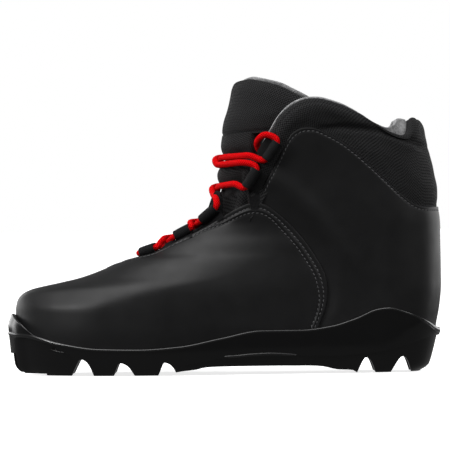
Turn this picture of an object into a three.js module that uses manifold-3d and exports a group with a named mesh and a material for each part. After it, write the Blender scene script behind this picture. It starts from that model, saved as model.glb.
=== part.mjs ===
// Cross-country ski boot for the left foot, size EU 42, with a single-channel binding sole.
// Millimetres, +Z up. The toe points along -X, the heel along +X, and the outer (lateral) side is -Y.
// The origin is under the middle of the boot, on the ground that the cleats stand on.
import * as THREE from "three";
import { mergeVertices } from "three/addons/utils/BufferGeometryUtils.js";
import Module from "manifold-3d";

const wasm = await Module();
wasm.setup();

// ---------- driving dimensions ----------

const GAP = 0.3; // between pieces that touch

const BALL_WIDTH = 93; // over the upper, at the ball of the foot
const SHAFT_WIDTH = 83; // over the collar, at its top

const SHELL = 1.8; // vamp, quarters and facings
const STIFFENER_IN = SHELL + GAP; // outer face of the toe puff and the heel counter
const TOE_PUFF = 1.2;
const HEEL_COUNTER = 1.5;
const LINING = 2.4; // felt
const COLLAR_PADDING = 4.4;
const LINING_IN_FOOT = 4.0; // outer face of the felt, below the ankle
const LINING_IN_COLLAR = SHELL + GAP + COLLAR_PADDING + GAP;
const PADDING_STARTS = 104; // height where the padding starts and the felt steps inwards
const PADDING_FULL = 122;

const TONGUE_CLOTH = 1.2;
const TONGUE_FELT = 1.8;
const TONGUE_PADDING = 4.5;
const TONGUE_IN_COLLAR = LINING_IN_COLLAR + LINING + 0.9; // running clearance to the felt
const TONGUE_IN_THROAT = LINING_IN_FOOT + LINING + GAP;
const LACE_PRESS = 4.5; // how deep the crossing laces press into the tongue
const PRESS_HEIGHTS = [128, 148];
const TONGUE_SEAM = 165; // the fold between the tongue's base and its padded top

const THROAT_FRONT = -71;
const FACING = { thick: 1.5, tuck: 3.2, end: -2.5, top: 117 }; // under the vamp, down each side of the throat
const GUSSET = { wide: 10, top: 139 };
const TONGUE_FRONT = -79;
const TIP = 4;

const LACE = 4.4;
const LOOP_HOLE = LACE + 1;
const LOOP_WALL = 1.1;
const LOOP_FOOT = 5.2; // width of the sewn-down foot
const LOOP_FOOT_START = 0.4; // from the middle of the loop outwards

const RIM_OVER = 2.4; // how far the sole's rim stands out from the upper
const CHANNEL_HALF = 10; // binding channel under the sole
const CHANNEL_DEEP = 9;
const CHANNEL_END = -12;
const HEEL_CHANNEL_START = 84;
const HEEL_CHANNEL_DEEP = 8;
const BAR_D = 4;
const BAR_LONG = 30;
const BAR_X = -134.5;
const BAR_Z = 7;
const BAR_POCKET = { half: 11, deep: 15, end: -124 };

const BOARD = 2;
const FILLER = 1.5;
const FOOTBED = 4;
const SHANK = { from: -25, to: 75, half: 7.5, thick: 1.5 };
const HEEL_PLUG = { from: 82, to: 131, half: 17, deep: 8.5 };

const AROUND = 24; // facets round a lofted body

// ---------- curves ----------

// A smooth function through [[x, y], ...] that keeps between its knots and is level beyond the ends.
function through(knots) {
  const n = knots.length;
  const rise = knots.slice(1).map((k, i) => (k[1] - knots[i][1]) / (k[0] - knots[i][0]));
  const slope = knots.map((_, i) => {
    if (i === 0 || i === n - 1 || rise[i - 1] * rise[i] <= 0) return 0;
    return (2 * rise[i - 1] * rise[i]) / (rise[i - 1] + rise[i]);
  });
  return (x) => {
    if (x <= knots[0][0]) return knots[0][1];
    if (x >= knots[n - 1][0]) return knots[n - 1][1];
    const i = knots.findIndex((k) => k[0] > x) - 1;
    const [x0, y0] = knots[i];
    const [x1, y1] = knots[i + 1];
    const h = x1 - x0;
    const t = (x - x0) / h;
    const s = 1 - t;
    return y0 * s * s * (1 + 2 * t) + y1 * t * t * (3 - 2 * t) + h * t * s * (slope[i] * s - slope[i + 1] * t);
  };
}

// A quarter circle: 0 at 0, and 1 from 1 on.
const rounded = (t) => Math.sqrt(1 - (1 - THREE.MathUtils.clamp(t, 0, 1)) ** 2);
const step = (x, from, to) => THREE.MathUtils.smoothstep(x, from, to);
const mix = THREE.MathUtils.lerp;

function spline(points, perSpan = 2) {
  const curve = new THREE.SplineCurve(points.map(([x, y]) => new THREE.Vector2(x, y)));
  return curve.getPoints((points.length - 1) * perSpan).map((p) => [p.x, p.y]);
}

// A side-view line moved sideways, to the left of its direction for a positive distance.
function moved(line, distance) {
  return line.map(([x, y], i) => {
    const a = line[Math.max(i - 1, 0)];
    const b = line[Math.min(i + 1, line.length - 1)];
    const long = Math.hypot(b[0] - a[0], b[1] - a[1]);
    return [x - (distance * (b[1] - a[1])) / long, y + (distance * (b[0] - a[0])) / long];
  });
}

// ---------- the boot's form ----------

// Front and back of the boot at each height. Above the instep the front is a line that the tongue lies inside.
const frontAt = through([
  [8, -139], [20, -142.6], [44, -143.9], [51, -142.6], [55.5, -139], [58.4, -133], [60.4, -125], [63, -112.5],
  [66, -99.5], [70.6, -86], [75, -75.5], [78.5, -66.5], [82, -56], [89, -43], [96.6, -29.5], [104.5, -20.5],
  [112, -18.2], [134, -14.8], [150, -12.6], [168, -9.6], [184, -4.8], [200, -1.6], [216, 2],
]);
const backAt = through([
  [8, 141], [20, 144.3], [32, 145.8], [45, 148.2], [60, 149.6], [100, 149.4], [113, 148.2], [131, 146.2],
  [153, 143], [163.6, 139.7], [170, 136.3], [175.5, 132], [190, 124], [216, 117],
]);

// Half the width beside the foot, and how far its middle swings towards the inner side.
const widened = (knots, share) => knots.map(([at, half]) => [at, half * share]);
const footHalf = through(widened([
  [-145, 38], [-115, 42], [-85, 45], [-55, 46.5], [-25, 44.5], [5, 40], [40, 36], [75, 34], [145, 34],
], BALL_WIDTH / 93));
const swing = through([[-143, 3], [-115, 2.4], [-80, -0.8], [-50, -2.4], [0, -2.8], [40, -2], [85, 0]]);
const shaftHalf = through(widened([
  [90, 35.5], [110, 36], [135, 36.8], [160, 39], [190, 41.5],
], SHAFT_WIDTH / 83));
const toeRound = through([[20, 56], [45, 62], [60, 98], [92, 96], [112, 56], [130, 48], [216, 50]]);
const toeFullness = through([[40, 0.5], [62, 0.43], [98, 0.41], [120, 0.5]]);
const heelRound = through([[20, 37], [100, 40], [160, 46]]);

function halfWidth(x, z) {
  const side = mix(footHalf(x), shaftHalf(z), step(z, 42, 118));
  const nose = rounded((x - frontAt(z)) / toeRound(z)) ** (2 * toeFullness(z));
  const tail = rounded((backAt(z) - x) / heelRound(z));
  return side * nose * tail * (1 - 0.04 * (1 - step(z, 10, 34)));
}

// The outer face of the upper. The turn is 0 at the toe, a quarter turn on the lateral side and a half at the heel.
function upperAt(turn, z) {
  const x = (frontAt(z) + backAt(z)) / 2 - ((backAt(z) - frontAt(z)) / 2) * Math.cos(turn);
  const middle = swing(x) * (1 - step(z, 55, 85));
  return new THREE.Vector3(x, middle - Math.sign(Math.sin(turn)) * halfWidth(x, z), z);
}

function outwards(at, turn, z) {
  const d = 0.02;
  const along = at(turn + d, z).sub(at(turn - d, z));
  const up = at(turn, z + 0.2).sub(at(turn, z - 0.2));
  return along.cross(up).normalize();
}

// The upper's face moved inwards by an inset, which may be a function of the point.
function insetAt(turn, z, inset) {
  const p = upperAt(turn, z);
  const depth = typeof inset === "function" ? inset(p) : inset;
  return p.addScaledVector(outwards(upperAt, turn, z), -depth);
}

const levels = [
  ...[8, 24, 40, 49, 55, 59, 63, 68, 74, 80, 86, 92, 98],
  ...[104, 112, 120, 128, 134, 142, 148, 157, 168, 180, 196, 216],
];

// ---------- solids ----------

function solid(geometry) {
  const bare = geometry.clone();
  bare.deleteAttribute("normal");
  bare.deleteAttribute("uv");
  const merged = mergeVertices(bare, 1e-4);
  return new wasm.Manifold(
    new wasm.Mesh({
      numProp: 3,
      vertProperties: merged.attributes.position.array,
      triVerts: new Uint32Array(merged.index.array),
    }),
  );
}

// A closed body lofted up through rings: at(turn, ring) gives each point, and hub(ring) the middle of an end.
function loft(at, hub, rings) {
  const geometry = new THREE.CylinderGeometry(1, 1, 1, AROUND, rings);
  const place = geometry.attributes.position;
  for (let i = 0; i < place.count; i++) {
    const [x, y, z] = [place.getX(i), place.getY(i), place.getZ(i)];
    const ring = Math.round((y + 0.5) * rings);
    const p = Math.hypot(x, z) < 0.5 ? hub(ring) : at(Math.atan2(x, z), ring);
    place.setXYZ(i, p.x, p.y, p.z);
  }
  return solid(geometry);
}

const bodies = new Map();
function bodyInside(inset) {
  if (!bodies.has(inset)) {
    const middle = (i) => new THREE.Vector3((frontAt(levels[i]) + backAt(levels[i])) / 2, 0, levels[i]);
    bodies.set(inset, loft((turn, i) => insetAt(turn, levels[i], inset), middle, levels.length - 1));
  }
  return bodies.get(inset);
}
const layer = (from, to) => bodyInside(from).subtract(bodyInside(to));

const REACH = 120;

// A prism right across the boot, from an outline in the side view.
function across(outline, half = REACH) {
  const shape = new THREE.Shape(outline.map(([x, z]) => new THREE.Vector2(x, z)));
  const prism = new THREE.ExtrudeGeometry(shape, { depth: 2 * half, bevelEnabled: false, steps: 1 });
  return solid(prism.rotateX(Math.PI / 2).translate(0, half, 0));
}

function box(x0, x1, y0, y1, z0, z1) {
  const block = new THREE.BoxGeometry(x1 - x0, y1 - y0, z1 - z0);
  return solid(block.translate((x0 + x1) / 2, (y0 + y1) / 2, (z0 + z1) / 2));
}

function rodAcross(d, long, x, z) {
  return solid(new THREE.CylinderGeometry(d / 2, d / 2, long, 20).translate(x, 0, z));
}

const lateralHalf = box(-200, 200, -REACH, -GAP / 2, -50, 300);
const medialHalf = box(-200, 200, GAP / 2, REACH, -50, 300);

// ---------- seam lines in the side view ----------

const vampLine = spline([
  [THROAT_FRONT, 77.5], [-57, 80.9], [-44, 85], [-30, 91.6], [-16, 98.4], [-1, 107], [10, 113.3], [19, 116.4], [28, 115.2],
  [37.5, 108.5], [48, 98.7], [58.3, 85.7], [67.3, 70.5], [70.5, 58], [69.3, 46], [65, 34], [60, 20], [57, 5],
]);
const quarterLine = spline([
  [19, 111], [26.8, 125.5], [31, 133.7], [36, 142.8], [42.3, 155.7], [46.5, 162.5], [51.4, 166], [56.5, 167.2], [64, 166.2],
  [77.5, 159.6], [88, 152.2], [98, 143.3], [108.3, 133.6], [118.5, 123.8], [128.8, 115.6], [137, 112.8], [160, 112.8],
]);
const collarTop = spline([
  [17.5, 108], [15.6, 121], [16, 129], [18.6, 138], [22.9, 149], [27.3, 157], [32.7, 165], [38.6, 174.4], [46.5, 181.8],
  [54, 185.8], [61, 187], [70, 186], [88, 179.3], [101.8, 172], [114, 165], [123, 162.2], [128, 163.6], [129.6, 175.5], [160, 175.5],
]);
const ahead = [[-200, 5], [-200, 95]];
const vampRegion = (grow) => across([...moved(vampLine, grow), ...ahead]);
const behindVamp = (grow) => across([...moved(vampLine, grow), [250, 5], [250, 250], [-200, 250], [THROAT_FRONT - grow, 100]]);

// The top of the sole's web, which everything in the boot stands on.
const floorAt = through([[-145, 21], [-125, 19], [-100, 15], [-70, 14], [-20, 14], [10, 16], [50, 21], [80, 22.6], [145, 23]]);
function band(low, high, from, to, half = REACH) {
  const count = Math.max(3, Math.round((to - from) / 12));
  const xs = Array.from({ length: count + 1 }, (_, i) => mix(from, to, i / count));
  const bottom = xs.map((x) => [x, floorAt(x) + low]);
  const top = xs.map((x) => [x, floorAt(x) + high]).reverse();
  return across([...bottom, ...top], half);
}
const aboveFloor = band(GAP, 260, -170, 170);

// The throat between the two lower facings, seen from above.
const throatHalf = through([[-78, 1.5], [-57, 5.5], [-44, 9.5], [-30, 12.4], [-16, 16], [-2, 20.5], [20, 25]]);
function throat(grow, to = 20) {
  const xs = Array.from({ length: 10 }, (_, i) => mix(THROAT_FRONT - 4, to, i / 9));
  const near = xs.map((x) => [x, -throatHalf(x) - grow]);
  const far = xs.map((x) => [x, throatHalf(x) + grow]).reverse();
  const shape = new THREE.Shape([...near, ...far].map(([x, y]) => new THREE.Vector2(x, y)));
  return solid(new THREE.ExtrudeGeometry(shape, { depth: 100, bevelEnabled: false }).translate(0, 0, 60));
}

const belowQuarter = (grow) => across([...moved(quarterLine, grow), [160, 5], [15, 5]]);
const belowCollarTop = (grow) => across([...moved(collarTop, grow), [160, -20], [17.5 - grow, -20]]);
const facingTop = [[10, 150], [27, 159], [47, 164.3]];
const belowFacingTop = (grow) => across([...moved(facingTop, grow), [47 + grow, 164 + grow], [47 + grow, 0], [10, 0]]);

const parts = new THREE.Group();
const looks = {
  leather: { color: 0x1b1b1c, roughness: 0.55 },
  cloth: { color: 0x141415, roughness: 0.9 },
  felt: { color: 0x8c8c8e, roughness: 1 },
  foam: { color: 0x3a3a3c, roughness: 1 },
  rubber: { color: 0x0c0c0d, roughness: 0.22 },
  board: { color: 0x6b5a44, roughness: 0.9 },
  steel: { color: 0xb8bbc0, roughness: 0.3, metalness: 1 },
  lace: { color: 0xd01216, roughness: 0.75 },
  tip: { color: 0x9c0f12, roughness: 0.35 },
};

function add(name, made, look) {
  const mesh = made.getMesh();
  const geometry = new THREE.BufferGeometry();
  geometry.setAttribute("position", new THREE.BufferAttribute(new Float32Array(mesh.vertProperties), 3));
  geometry.setIndex(new THREE.BufferAttribute(new Uint32Array(mesh.triVerts), 1));
  geometry.computeVertexNormals();
  const piece = new THREE.Mesh(geometry, new THREE.MeshStandardMaterial({ metalness: 0, ...looks[look] }));
  piece.name = name;
  parts.add(piece);
}

// ---------- sole ----------

const soleFront = through([[0, -141], [2.4, -144.3], [6.6, -147], [20, -148.3], [34, -149.5], [39, -148.1], [46, -145], [50, -143.5]]);
const soleBack = through([[0, 134.4], [2.1, 137.9], [4.8, 140.7], [13.8, 143.6], [25.5, 146.6], [32, 149.6], [50, 151]]);
const soleOver = through([[0, -2.5], [8, -0.5], [18, 1.4], [28, RIM_OVER], [50, RIM_OVER]]);
const soleLevels = [0, 2.4, 6.6, 13, 20, 28, 34, 39, 44, 50];

function soleBody(shrink) {
  const at = (turn, ring) => {
    const z = soleLevels[ring];
    const front = soleFront(z) + shrink;
    const back = soleBack(z) - shrink;
    const x = (front + back) / 2 - ((back - front) / 2) * Math.cos(turn);
    const nose = rounded((x - front) / (toeRound(z) + RIM_OVER));
    const tail = rounded((back - x) / (heelRound(z) + RIM_OVER));
    const half = (footHalf(x) * 0.97 + soleOver(z) - shrink) * nose * tail;
    return new THREE.Vector3(x, swing(x) - Math.sign(Math.sin(turn)) * half, z);
  };
  return loft(at, (ring) => new THREE.Vector3(0, 0, soleLevels[ring]), soleLevels.length - 1);
}

const rimLine = spline([
  [-170, 46], [-151, 43.5], [-141.2, 36.2], [-134.4, 30.6], [-127.5, 26.4], [-113.7, 22.1], [-86, 18], [-58.6, 17.4],
  [-31, 19.1], [-3.3, 24.3], [25.7, 29.4], [52, 29.4], [72.7, 31.8], [90, 37.1], [103.9, 42.9], [112, 43.9],
  [124.5, 40.9], [138.3, 34.9], [147, 29.8], [170, 27],
], 1);
const groove = (from, to, peak, deep) => across(spline([
  [from, -1], [mix(from, peak, 0.66), deep * 0.82], [peak, deep], [mix(to, peak, 0.5), deep * 0.72], [to, -1],
], 2));
const tread = [
  groove(-105, -88.6, -97.3, 11.2),
  groove(-76, -60.6, -71, 8.6),
  groove(-45.7, -31.6, -40.5, 8.6),
  groove(89.6, 103.2, 96.6, 10.3),
  groove(112.6, 127.8, 122, 10.7),
  across([[-170, -5], [-170, 1.4], [-122, 1.2], [-121.5, -5]]),
  across([[-32, -3], [-25, 1.5], [-16, 3.8], [-8, 5.2], [38, 5.3], [64, 4.8], [76, 2.4], [88, 1.5], [92, -3]]),
];
// Side faces that stand back from the rim: [line above, how far they stand back].
const setBacks = [
  [[[-141, 1], [-141, 25.2], [-134, 26.1], [-128, 25.3], [-117, 20.7], [-103.5, 13], [-100, 11], [-98, 1]], 3],
  [[[-31, 2], [-27, 6.7], [-17, 8.6], [4, 12.2], [17, 13.1], [31, 13.6], [51, 12], [51, 2]], 3.2],
  [[[51.4, -1], [51.4, 12], [79, 11.7], [107, 14.3], [127.8, 20.2], [141, 24], [141, -1]], 1.4],
];

let outsole = soleBody(0);
outsole = outsole.subtract(across([...rimLine, [170, 90], [-170, 90]]));
outsole = outsole.subtract(bodyInside(-GAP).intersect(band(0, 260, -170, 170)));
for (const [outline, depth] of setBacks) outsole = outsole.subtract(across(outline).subtract(soleBody(depth)));
for (const cut of tread) outsole = outsole.subtract(cut);
outsole = outsole.subtract(box(-170, BAR_POCKET.end, -BAR_POCKET.half, BAR_POCKET.half, -5, BAR_POCKET.deep));
outsole = outsole.subtract(box(BAR_POCKET.end - 1, CHANNEL_END, -CHANNEL_HALF, CHANNEL_HALF, -5, CHANNEL_DEEP));
outsole = outsole.subtract(box(HEEL_CHANNEL_START, 132, -CHANNEL_HALF, CHANNEL_HALF, -5, HEEL_CHANNEL_DEEP));
outsole = outsole.subtract(rodAcross(BAR_D + 2 * GAP, BAR_LONG + 2 * GAP, BAR_X, BAR_Z));

const heelPlug = (grow) => {
  const { from, to, half, deep } = HEEL_PLUG;
  return box(from - grow, to + grow, -half - grow, half + grow, floorAt(to) - deep - grow, 60);
};
outsole = outsole.subtract(heelPlug(GAP));
add("outsole", outsole, "rubber");
add("toe_bar", rodAcross(BAR_D, BAR_LONG, BAR_X, BAR_Z), "steel");
add("heel_filler", heelPlug(0).intersect(band(-20, 0, -170, 170)), "foam");

const inShell = bodyInside(STIFFENER_IN);
const shankSlot = (grow) => box(SHANK.from - grow, SHANK.to + grow, -SHANK.half - grow, SHANK.half + grow, 0, 60);
const fillerTop = GAP + FILLER;
add("sole_filler", inShell.intersect(band(GAP, fillerTop, -170, 170)).subtract(shankSlot(GAP)), "foam");
add("shank", shankSlot(0).intersect(band(GAP, GAP + SHANK.thick, -60, 120)), "steel");
const boardTop = fillerTop + GAP + BOARD;
add("insole_board", inShell.intersect(band(fillerTop + GAP, boardTop, -170, 170)), "board");
const footbedTop = boardTop + GAP + FOOTBED;
const inLining = bodyInside(LINING_IN_FOOT + LINING + GAP);
add("footbed", inLining.intersect(band(boardTop + GAP, footbedTop, -170, 170)), "foam");

// ---------- shell ----------

const shell = layer(0, SHELL).intersect(aboveFloor);
const onBoard = band(boardTop + GAP, 260, -170, 170);
add("vamp", shell.intersect(vampRegion(0)), "leather");

const quarter = shell.intersect(belowQuarter(0)).intersect(behindVamp(GAP));
add("quarter_lateral", quarter.intersect(lateralHalf), "leather");
add("quarter_medial", quarter.intersect(medialHalf), "leather");

const upperFacing = shell.intersect(belowCollarTop(0)).intersect(belowFacingTop(0));
const upperFacings = upperFacing.subtract(belowQuarter(GAP)).intersect(behindVamp(GAP)).intersect(box(-50, 60, -90, 90, 100, 200));
add("facing_upper_lateral", upperFacings.intersect(lateralHalf), "cloth");
add("facing_upper_medial", upperFacings.intersect(medialHalf), "cloth");

const rolledEdge = layer(0, LINING_IN_COLLAR - GAP).intersect(belowCollarTop(0)).subtract(belowCollarTop(-SHELL));
const collarCloth = layer(0, SHELL).intersect(belowCollarTop(0));
add("collar", collarCloth.add(rolledEdge).subtract(belowQuarter(GAP)).subtract(belowFacingTop(GAP)), "cloth");

const facingLayer = layer(STIFFENER_IN, STIFFENER_IN + FACING.thick);
const facingRange = box(THROAT_FRONT - 2, FACING.end, -90, 90, 60, FACING.top);
const lowerFacings = facingLayer.intersect(behindVamp(-FACING.tuck)).subtract(throat(0)).intersect(facingRange);
add("facing_lower_lateral", lowerFacings.intersect(lateralHalf), "cloth");
add("facing_lower_medial", lowerFacings.intersect(medialHalf), "cloth");

// ---------- stiffeners, insulation, padding, lining ----------

const puffRegion = (grow) => across([[-160, 5], [-160, 90], [-97 + grow, 90], [-92 + grow, 5]]);
const counterRegion = (grow) => across([[62 - grow, 5], [66 - grow, 40], [90 - grow, 84], [112, 90 + grow], [160, 90 + grow], [160, 5]]);
add("toe_puff", layer(STIFFENER_IN, STIFFENER_IN + TOE_PUFF).intersect(puffRegion(0)).intersect(onBoard), "board");
add("heel_counter", layer(STIFFENER_IN, STIFFENER_IN + HEEL_COUNTER).intersect(counterRegion(0)).intersect(onBoard), "board");

const insulated = across([
  [-110, 5], [-110, 74], [-78, 74], [-66, 70], [-44, 78], [-30, 85], [-16, 91], [-2, 98], [8, PADDING_STARTS - GAP],
  [160, PADDING_STARTS - GAP], [160, 5],
]);
const insulation = layer(STIFFENER_IN, LINING_IN_FOOT - GAP).intersect(insulated).intersect(onBoard);
add("insulation", insulation.subtract(puffRegion(GAP)).subtract(counterRegion(GAP)), "foam");

const liningOut = (p) => mix(LINING_IN_FOOT, LINING_IN_COLLAR, step(p.z, PADDING_STARTS, PADDING_FULL));
const liningIn = (p) => liningOut(p) + LINING;
const paddingIn = (p) => liningOut(p) - GAP;
const padding = layer(STIFFENER_IN, paddingIn).intersect(box(-200, 200, -REACH, REACH, PADDING_STARTS, 300));
add("collar_padding", padding.intersect(belowCollarTop(-SHELL - GAP)), "foam");

const liningFront = across([[-200, 5], [-200, 100], [-40, 100], [-4, 108.5], [18.5, 112], [18.5, 5]]);
const lined = layer(liningOut, liningIn).intersect(onBoard);
add("lining", lined.intersect(belowCollarTop(-0.6).add(liningFront)).subtract(throat(0)), "felt");

// ---------- tongue ----------

const bump = (z, middle) => Math.exp(-(((z - middle) / 5.5) ** 2));
const pressed = (p) => LACE_PRESS * PRESS_HEIGHTS.reduce((sum, z) => sum + bump(p.z, z), 0) * (1 - step(p.x, 4, 24));
const tongueOut = (p) => mix(TONGUE_IN_THROAT, TONGUE_IN_COLLAR, step(p.z, 99, 116)) + pressed(p);
const tongueCloth = (p) => tongueOut(p) + TONGUE_CLOTH;
const feltOut = (p) => tongueCloth(p) + GAP;
const feltIn = (p) => feltOut(p) + TONGUE_FELT;
const padOut = (p) => tongueCloth(p) + GAP;
const padIn = (p) => padOut(p) + TONGUE_PADDING * (0.55 + 0.45 * step(p.z, 166, 187));
const topFeltOut = (p) => padIn(p) + GAP;
const topFeltIn = (p) => topFeltOut(p) + TONGUE_FELT;

const tongueEdge = spline([
  [-84, 58], [-62, 66], [-40, 75], [-15, 87], [0, 99], [8, 111], [11, 125], [14.5, 139], [17.5, 150], [18.5, 158], [21, 168],
]);
const tongueBase = (grow) => across([...moved(tongueEdge, grow), [-90, 168], [-90, 58]]).intersect(
  box(TONGUE_FRONT, 60, -REACH, REACH, 0, TONGUE_SEAM - GAP / 2),
);
add("tongue_base", layer(tongueOut, tongueCloth).intersect(tongueBase(0)), "cloth");
add("tongue_base_felt", layer(feltOut, feltIn).intersect(tongueBase(1)), "felt");

const tongueTop = (grow) => across(
  [
    [-20, TONGUE_SEAM + GAP / 2], [-20, 206 - grow], [12.4, 203.6 - grow], [26, 200 - grow], [40, 195.7 - grow],
    [51.6, 190 - grow], [59 - grow, 185 - grow], [63 - grow, 179], [54 - grow, 171], [38 - grow, TONGUE_SEAM + GAP / 2],
  ],
);
const topCloth = layer(tongueOut, tongueCloth).intersect(tongueTop(0));
const topEdge = layer(tongueOut, padIn).intersect(tongueTop(0)).subtract(tongueTop(TONGUE_CLOTH));
add("tongue_top", topCloth.add(topEdge), "cloth");
add("tongue_top_padding", layer(padOut, padIn).intersect(tongueTop(TONGUE_CLOTH + GAP)), "foam");
add("tongue_top_felt", layer(topFeltOut, topFeltIn).intersect(tongueTop(0.5)), "felt");

const gussets = layer(tongueOut, tongueCloth)
  .intersect(tongueBase(-GUSSET.wide))
  .subtract(tongueBase(-GAP))
  .intersect(box(-60, 60, -REACH, REACH, 0, GUSSET.top));
add("gusset_lateral", gussets.intersect(lateralHalf), "cloth");
add("gusset_medial", gussets.intersect(medialHalf), "cloth");

// ---------- lace loops ----------

// A point beside the middle line at (x, z) in the side view, sunk by the inset. Side is -1 lateral, 1 medial.
function beside(x, z, side, inset) {
  const e = 0.3;
  const dx = (halfWidth(x + e, z) - halfWidth(x - e, z)) / (2 * e);
  const dz = (halfWidth(x, z + e) - halfWidth(x, z - e)) / (2 * e);
  const normal = new THREE.Vector3(-dx, side, -dz).normalize();
  const middle = swing(x) * (1 - step(z, 55, 85));
  return { point: new THREE.Vector3(x, middle + side * halfWidth(x, z), z).addScaledVector(normal, -inset), normal };
}

const loopOut = LOOP_HOLE / 2 + LOOP_WALL;
const lowerSeat = STIFFENER_IN - GAP - loopOut;
const upperSeat = -GAP - loopOut;
// Where each loop sits: [x, z] of its front and rear end in the side view, and how deep its middle is.
const loopSeats = [
  { ends: [[-55.8, 81.6], [-46.6, 84.8]], inset: lowerSeat, seat: STIFFENER_IN },
  { ends: [[-32, 92.9], [-22.5, 98]], inset: lowerSeat, seat: STIFFENER_IN },
  { ends: [[-13.2, 105.2], [-4.2, 113.2]], inset: lowerSeat, seat: STIFFENER_IN },
  { ends: [[17, 127.6], [23.6, 139]], inset: upperSeat, seat: 0 },
  { ends: [[30, 146.4], [37, 157.4]], inset: upperSeat, seat: 0 },
];

function loopAt(seat, side) {
  const [a, b] = seat.ends.map(([x, z]) => beside(x, z, side, seat.inset));
  const along = b.point.clone().sub(a.point);
  const length = along.length();
  along.normalize();
  const up = a.normal.clone().add(b.normal);
  up.addScaledVector(along, -up.dot(along)).normalize();
  const out = up.clone().cross(along).normalize();
  if (out.y * side < 0) out.negate();
  return { a: a.point, b: b.point, along, up, out, length };
}

const leatherSkin = vampRegion(GAP).intersect(bodyInside(-GAP));
function laceLoop(seat, side) {
  const at = loopAt(seat, side);
  const ring = new THREE.Shape().absarc(0, 0, loopOut, 0, 2 * Math.PI);
  ring.holes.push(new THREE.Path().absarc(0, 0, LOOP_HOLE / 2, 0, 2 * Math.PI));
  const tube = new THREE.ExtrudeGeometry(ring, { depth: at.length, bevelEnabled: false, curveSegments: 6 });
  const hand = Math.sign(at.up.clone().cross(at.along).dot(at.out));
  const foot = new THREE.BoxGeometry(LOOP_FOOT, LOOP_WALL, at.length);
  foot.translate(hand * (LOOP_FOOT / 2 + LOOP_FOOT_START), -loopOut + LOOP_WALL / 2, at.length / 2);
  const right = at.out.clone().multiplyScalar(hand);
  const frame = new THREE.Matrix4().makeBasis(right, at.up, at.along).setPosition(at.a);
  const loop = solid(tube.applyMatrix4(frame)).add(solid(foot.applyMatrix4(frame)));
  return loop.subtract(bodyInside(seat.seat - GAP)).subtract(leatherSkin);
}

const sides = [["lateral", -1], ["medial", 1]];
for (const [name, side] of sides) {
  loopSeats.forEach((seat, i) => add(`lace_loop_${name}_${i + 1}`, laceLoop(seat, side), "cloth"));
}

// ---------- lace ----------

const FREE_END = 2.2; // the lace runs straight this far out of each loop
const CROSSING = LACE + GAP; // between the middles of two crossing strands
const TONGUE_CURVE = 15; // radius across the tongue's front

// Where a strand rides over the tongue beside its middle line, one or two strands out.
function overTongue(y, z, lift) {
  const e = 0.5;
  const rise = new THREE.Vector3(frontAt(z + e) - frontAt(z - e), 0, 2 * e).normalize();
  const out = new THREE.Vector3(-rise.z, 0, rise.x);
  const ridge = new THREE.Vector3(frontAt(z), 0, z);
  const back = (y * y) / TONGUE_CURVE / 2;
  return ridge.addScaledVector(out, lift - tongueOut(ridge) - back).setY(y);
}

// Crossings up from the toe: height, how far the lower strand lies off the tongue, and the points
// [x, z, inset] on the way up from a loop and down to the next.
const onFace = LACE / 2 + GAP;
const crossings = [
  { z: 90.6, lift: 4.7, leave: [], arrive: [], shoulder: 0 },
  { z: 102.6, lift: 4.2, leave: [], arrive: [], shoulder: 0 },
  { z: 128, lift: onFace, leave: [[-5, 120, 0]], arrive: [[8.5, 129.8, -0.5]], shoulder: 6.5 },
  { z: 148, lift: onFace + 0.3, leave: [[20.5, 143.4, -3.2], [13, 144.2, -1.2]], arrive: [[19, 149, -2.2]], shoulder: 6.5 },
];
const pathOf = (side, level) => {
  const at = loopAt(loopSeats[level], side);
  const front = at.a.clone().addScaledVector(at.along, -FREE_END);
  const rear = at.b.clone().addScaledVector(at.along, FREE_END);
  return [front, rear];
};
// From the rear end of a loop on one side, up across the tongue to the front end of the next loop.
function crossing(level, side, strand) {
  const { z, lift, leave, arrive, shoulder } = crossings[level];
  const [, from] = pathOf(side, level);
  const [to] = pathOf(-side, level + 1);
  const high = lift + strand * CROSSING;
  const middle = overTongue(0, z, high);
  const start = shoulder ? overTongue(side * shoulder, z - 4, lift + 0.8 + strand * 1.5) : from.clone().lerp(middle, 0.7);
  const end = shoulder ? overTongue(-side * shoulder, z + 1.8, lift + 1.2 + strand * 1.2) : to.clone().lerp(middle, 0.7);
  return [
    ...leave.map(([x, h, inset]) => beside(x, h, side, inset).point),
    start,
    middle,
    end,
    ...arrive.map(([x, h, inset]) => beside(x, h, -side, inset).point),
  ];
}

// From the fifth lateral loop down to the first, across the throat, and up to the fifth medial loop.
function lacing() {
  const points = [];
  for (const level of [4, 3, 2, 1, 0]) {
    const side = level % 2 === 0 ? -1 : 1;
    points.push(...pathOf(side, level).reverse());
    if (level > 0) points.push(...crossing(level - 1, -side, level % 2).reverse());
  }
  for (const level of [0, 1, 2, 3, 4]) {
    const side = level % 2 === 0 ? 1 : -1;
    points.push(...pathOf(side, level));
    if (level < 4) points.push(...crossing(level, side, level % 2));
  }
  return points;
}
// Inside the boot: over the collar's front edge, down the felt and along the footbed to the tip.
const tailStart = [[33.6, 162.2, -2.8], [29, 163.4, -2.4], [24.6, 160.6, 2], [21, 157, 6.4], [22, 151.6, 12.6], [27.5, 145, 12.8]];
const tailDown = [[36, 129], [40.5, 110], [42, 90], [41, 71], [37, 54], [28, 40]];
const tailAlong = [12, -6, -26, -47, -69];
const tipEnd = -91;
const OFF_FELT = 1.5; // how far the tucked-in lace stays off the felt
const deep = (x, z, s) => beside(x, z, s, liningIn({ z }) + LACE / 2 + OFF_FELT).point;
const onFootbed = (x, s) => deep(x, floorAt(x) + footbedTop + LACE / 2 + 0.5, s);
const tail = (s) => [
  ...tailStart.map(([x, z, inset]) => beside(x, z, s, inset).point),
  ...tailDown.map(([x, z]) => deep(x, z, s)),
  ...tailAlong.map((x) => onFootbed(x, s)),
];
const lacePoints = [...tail(-1).reverse(), ...lacing(), ...tail(1)];

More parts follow.
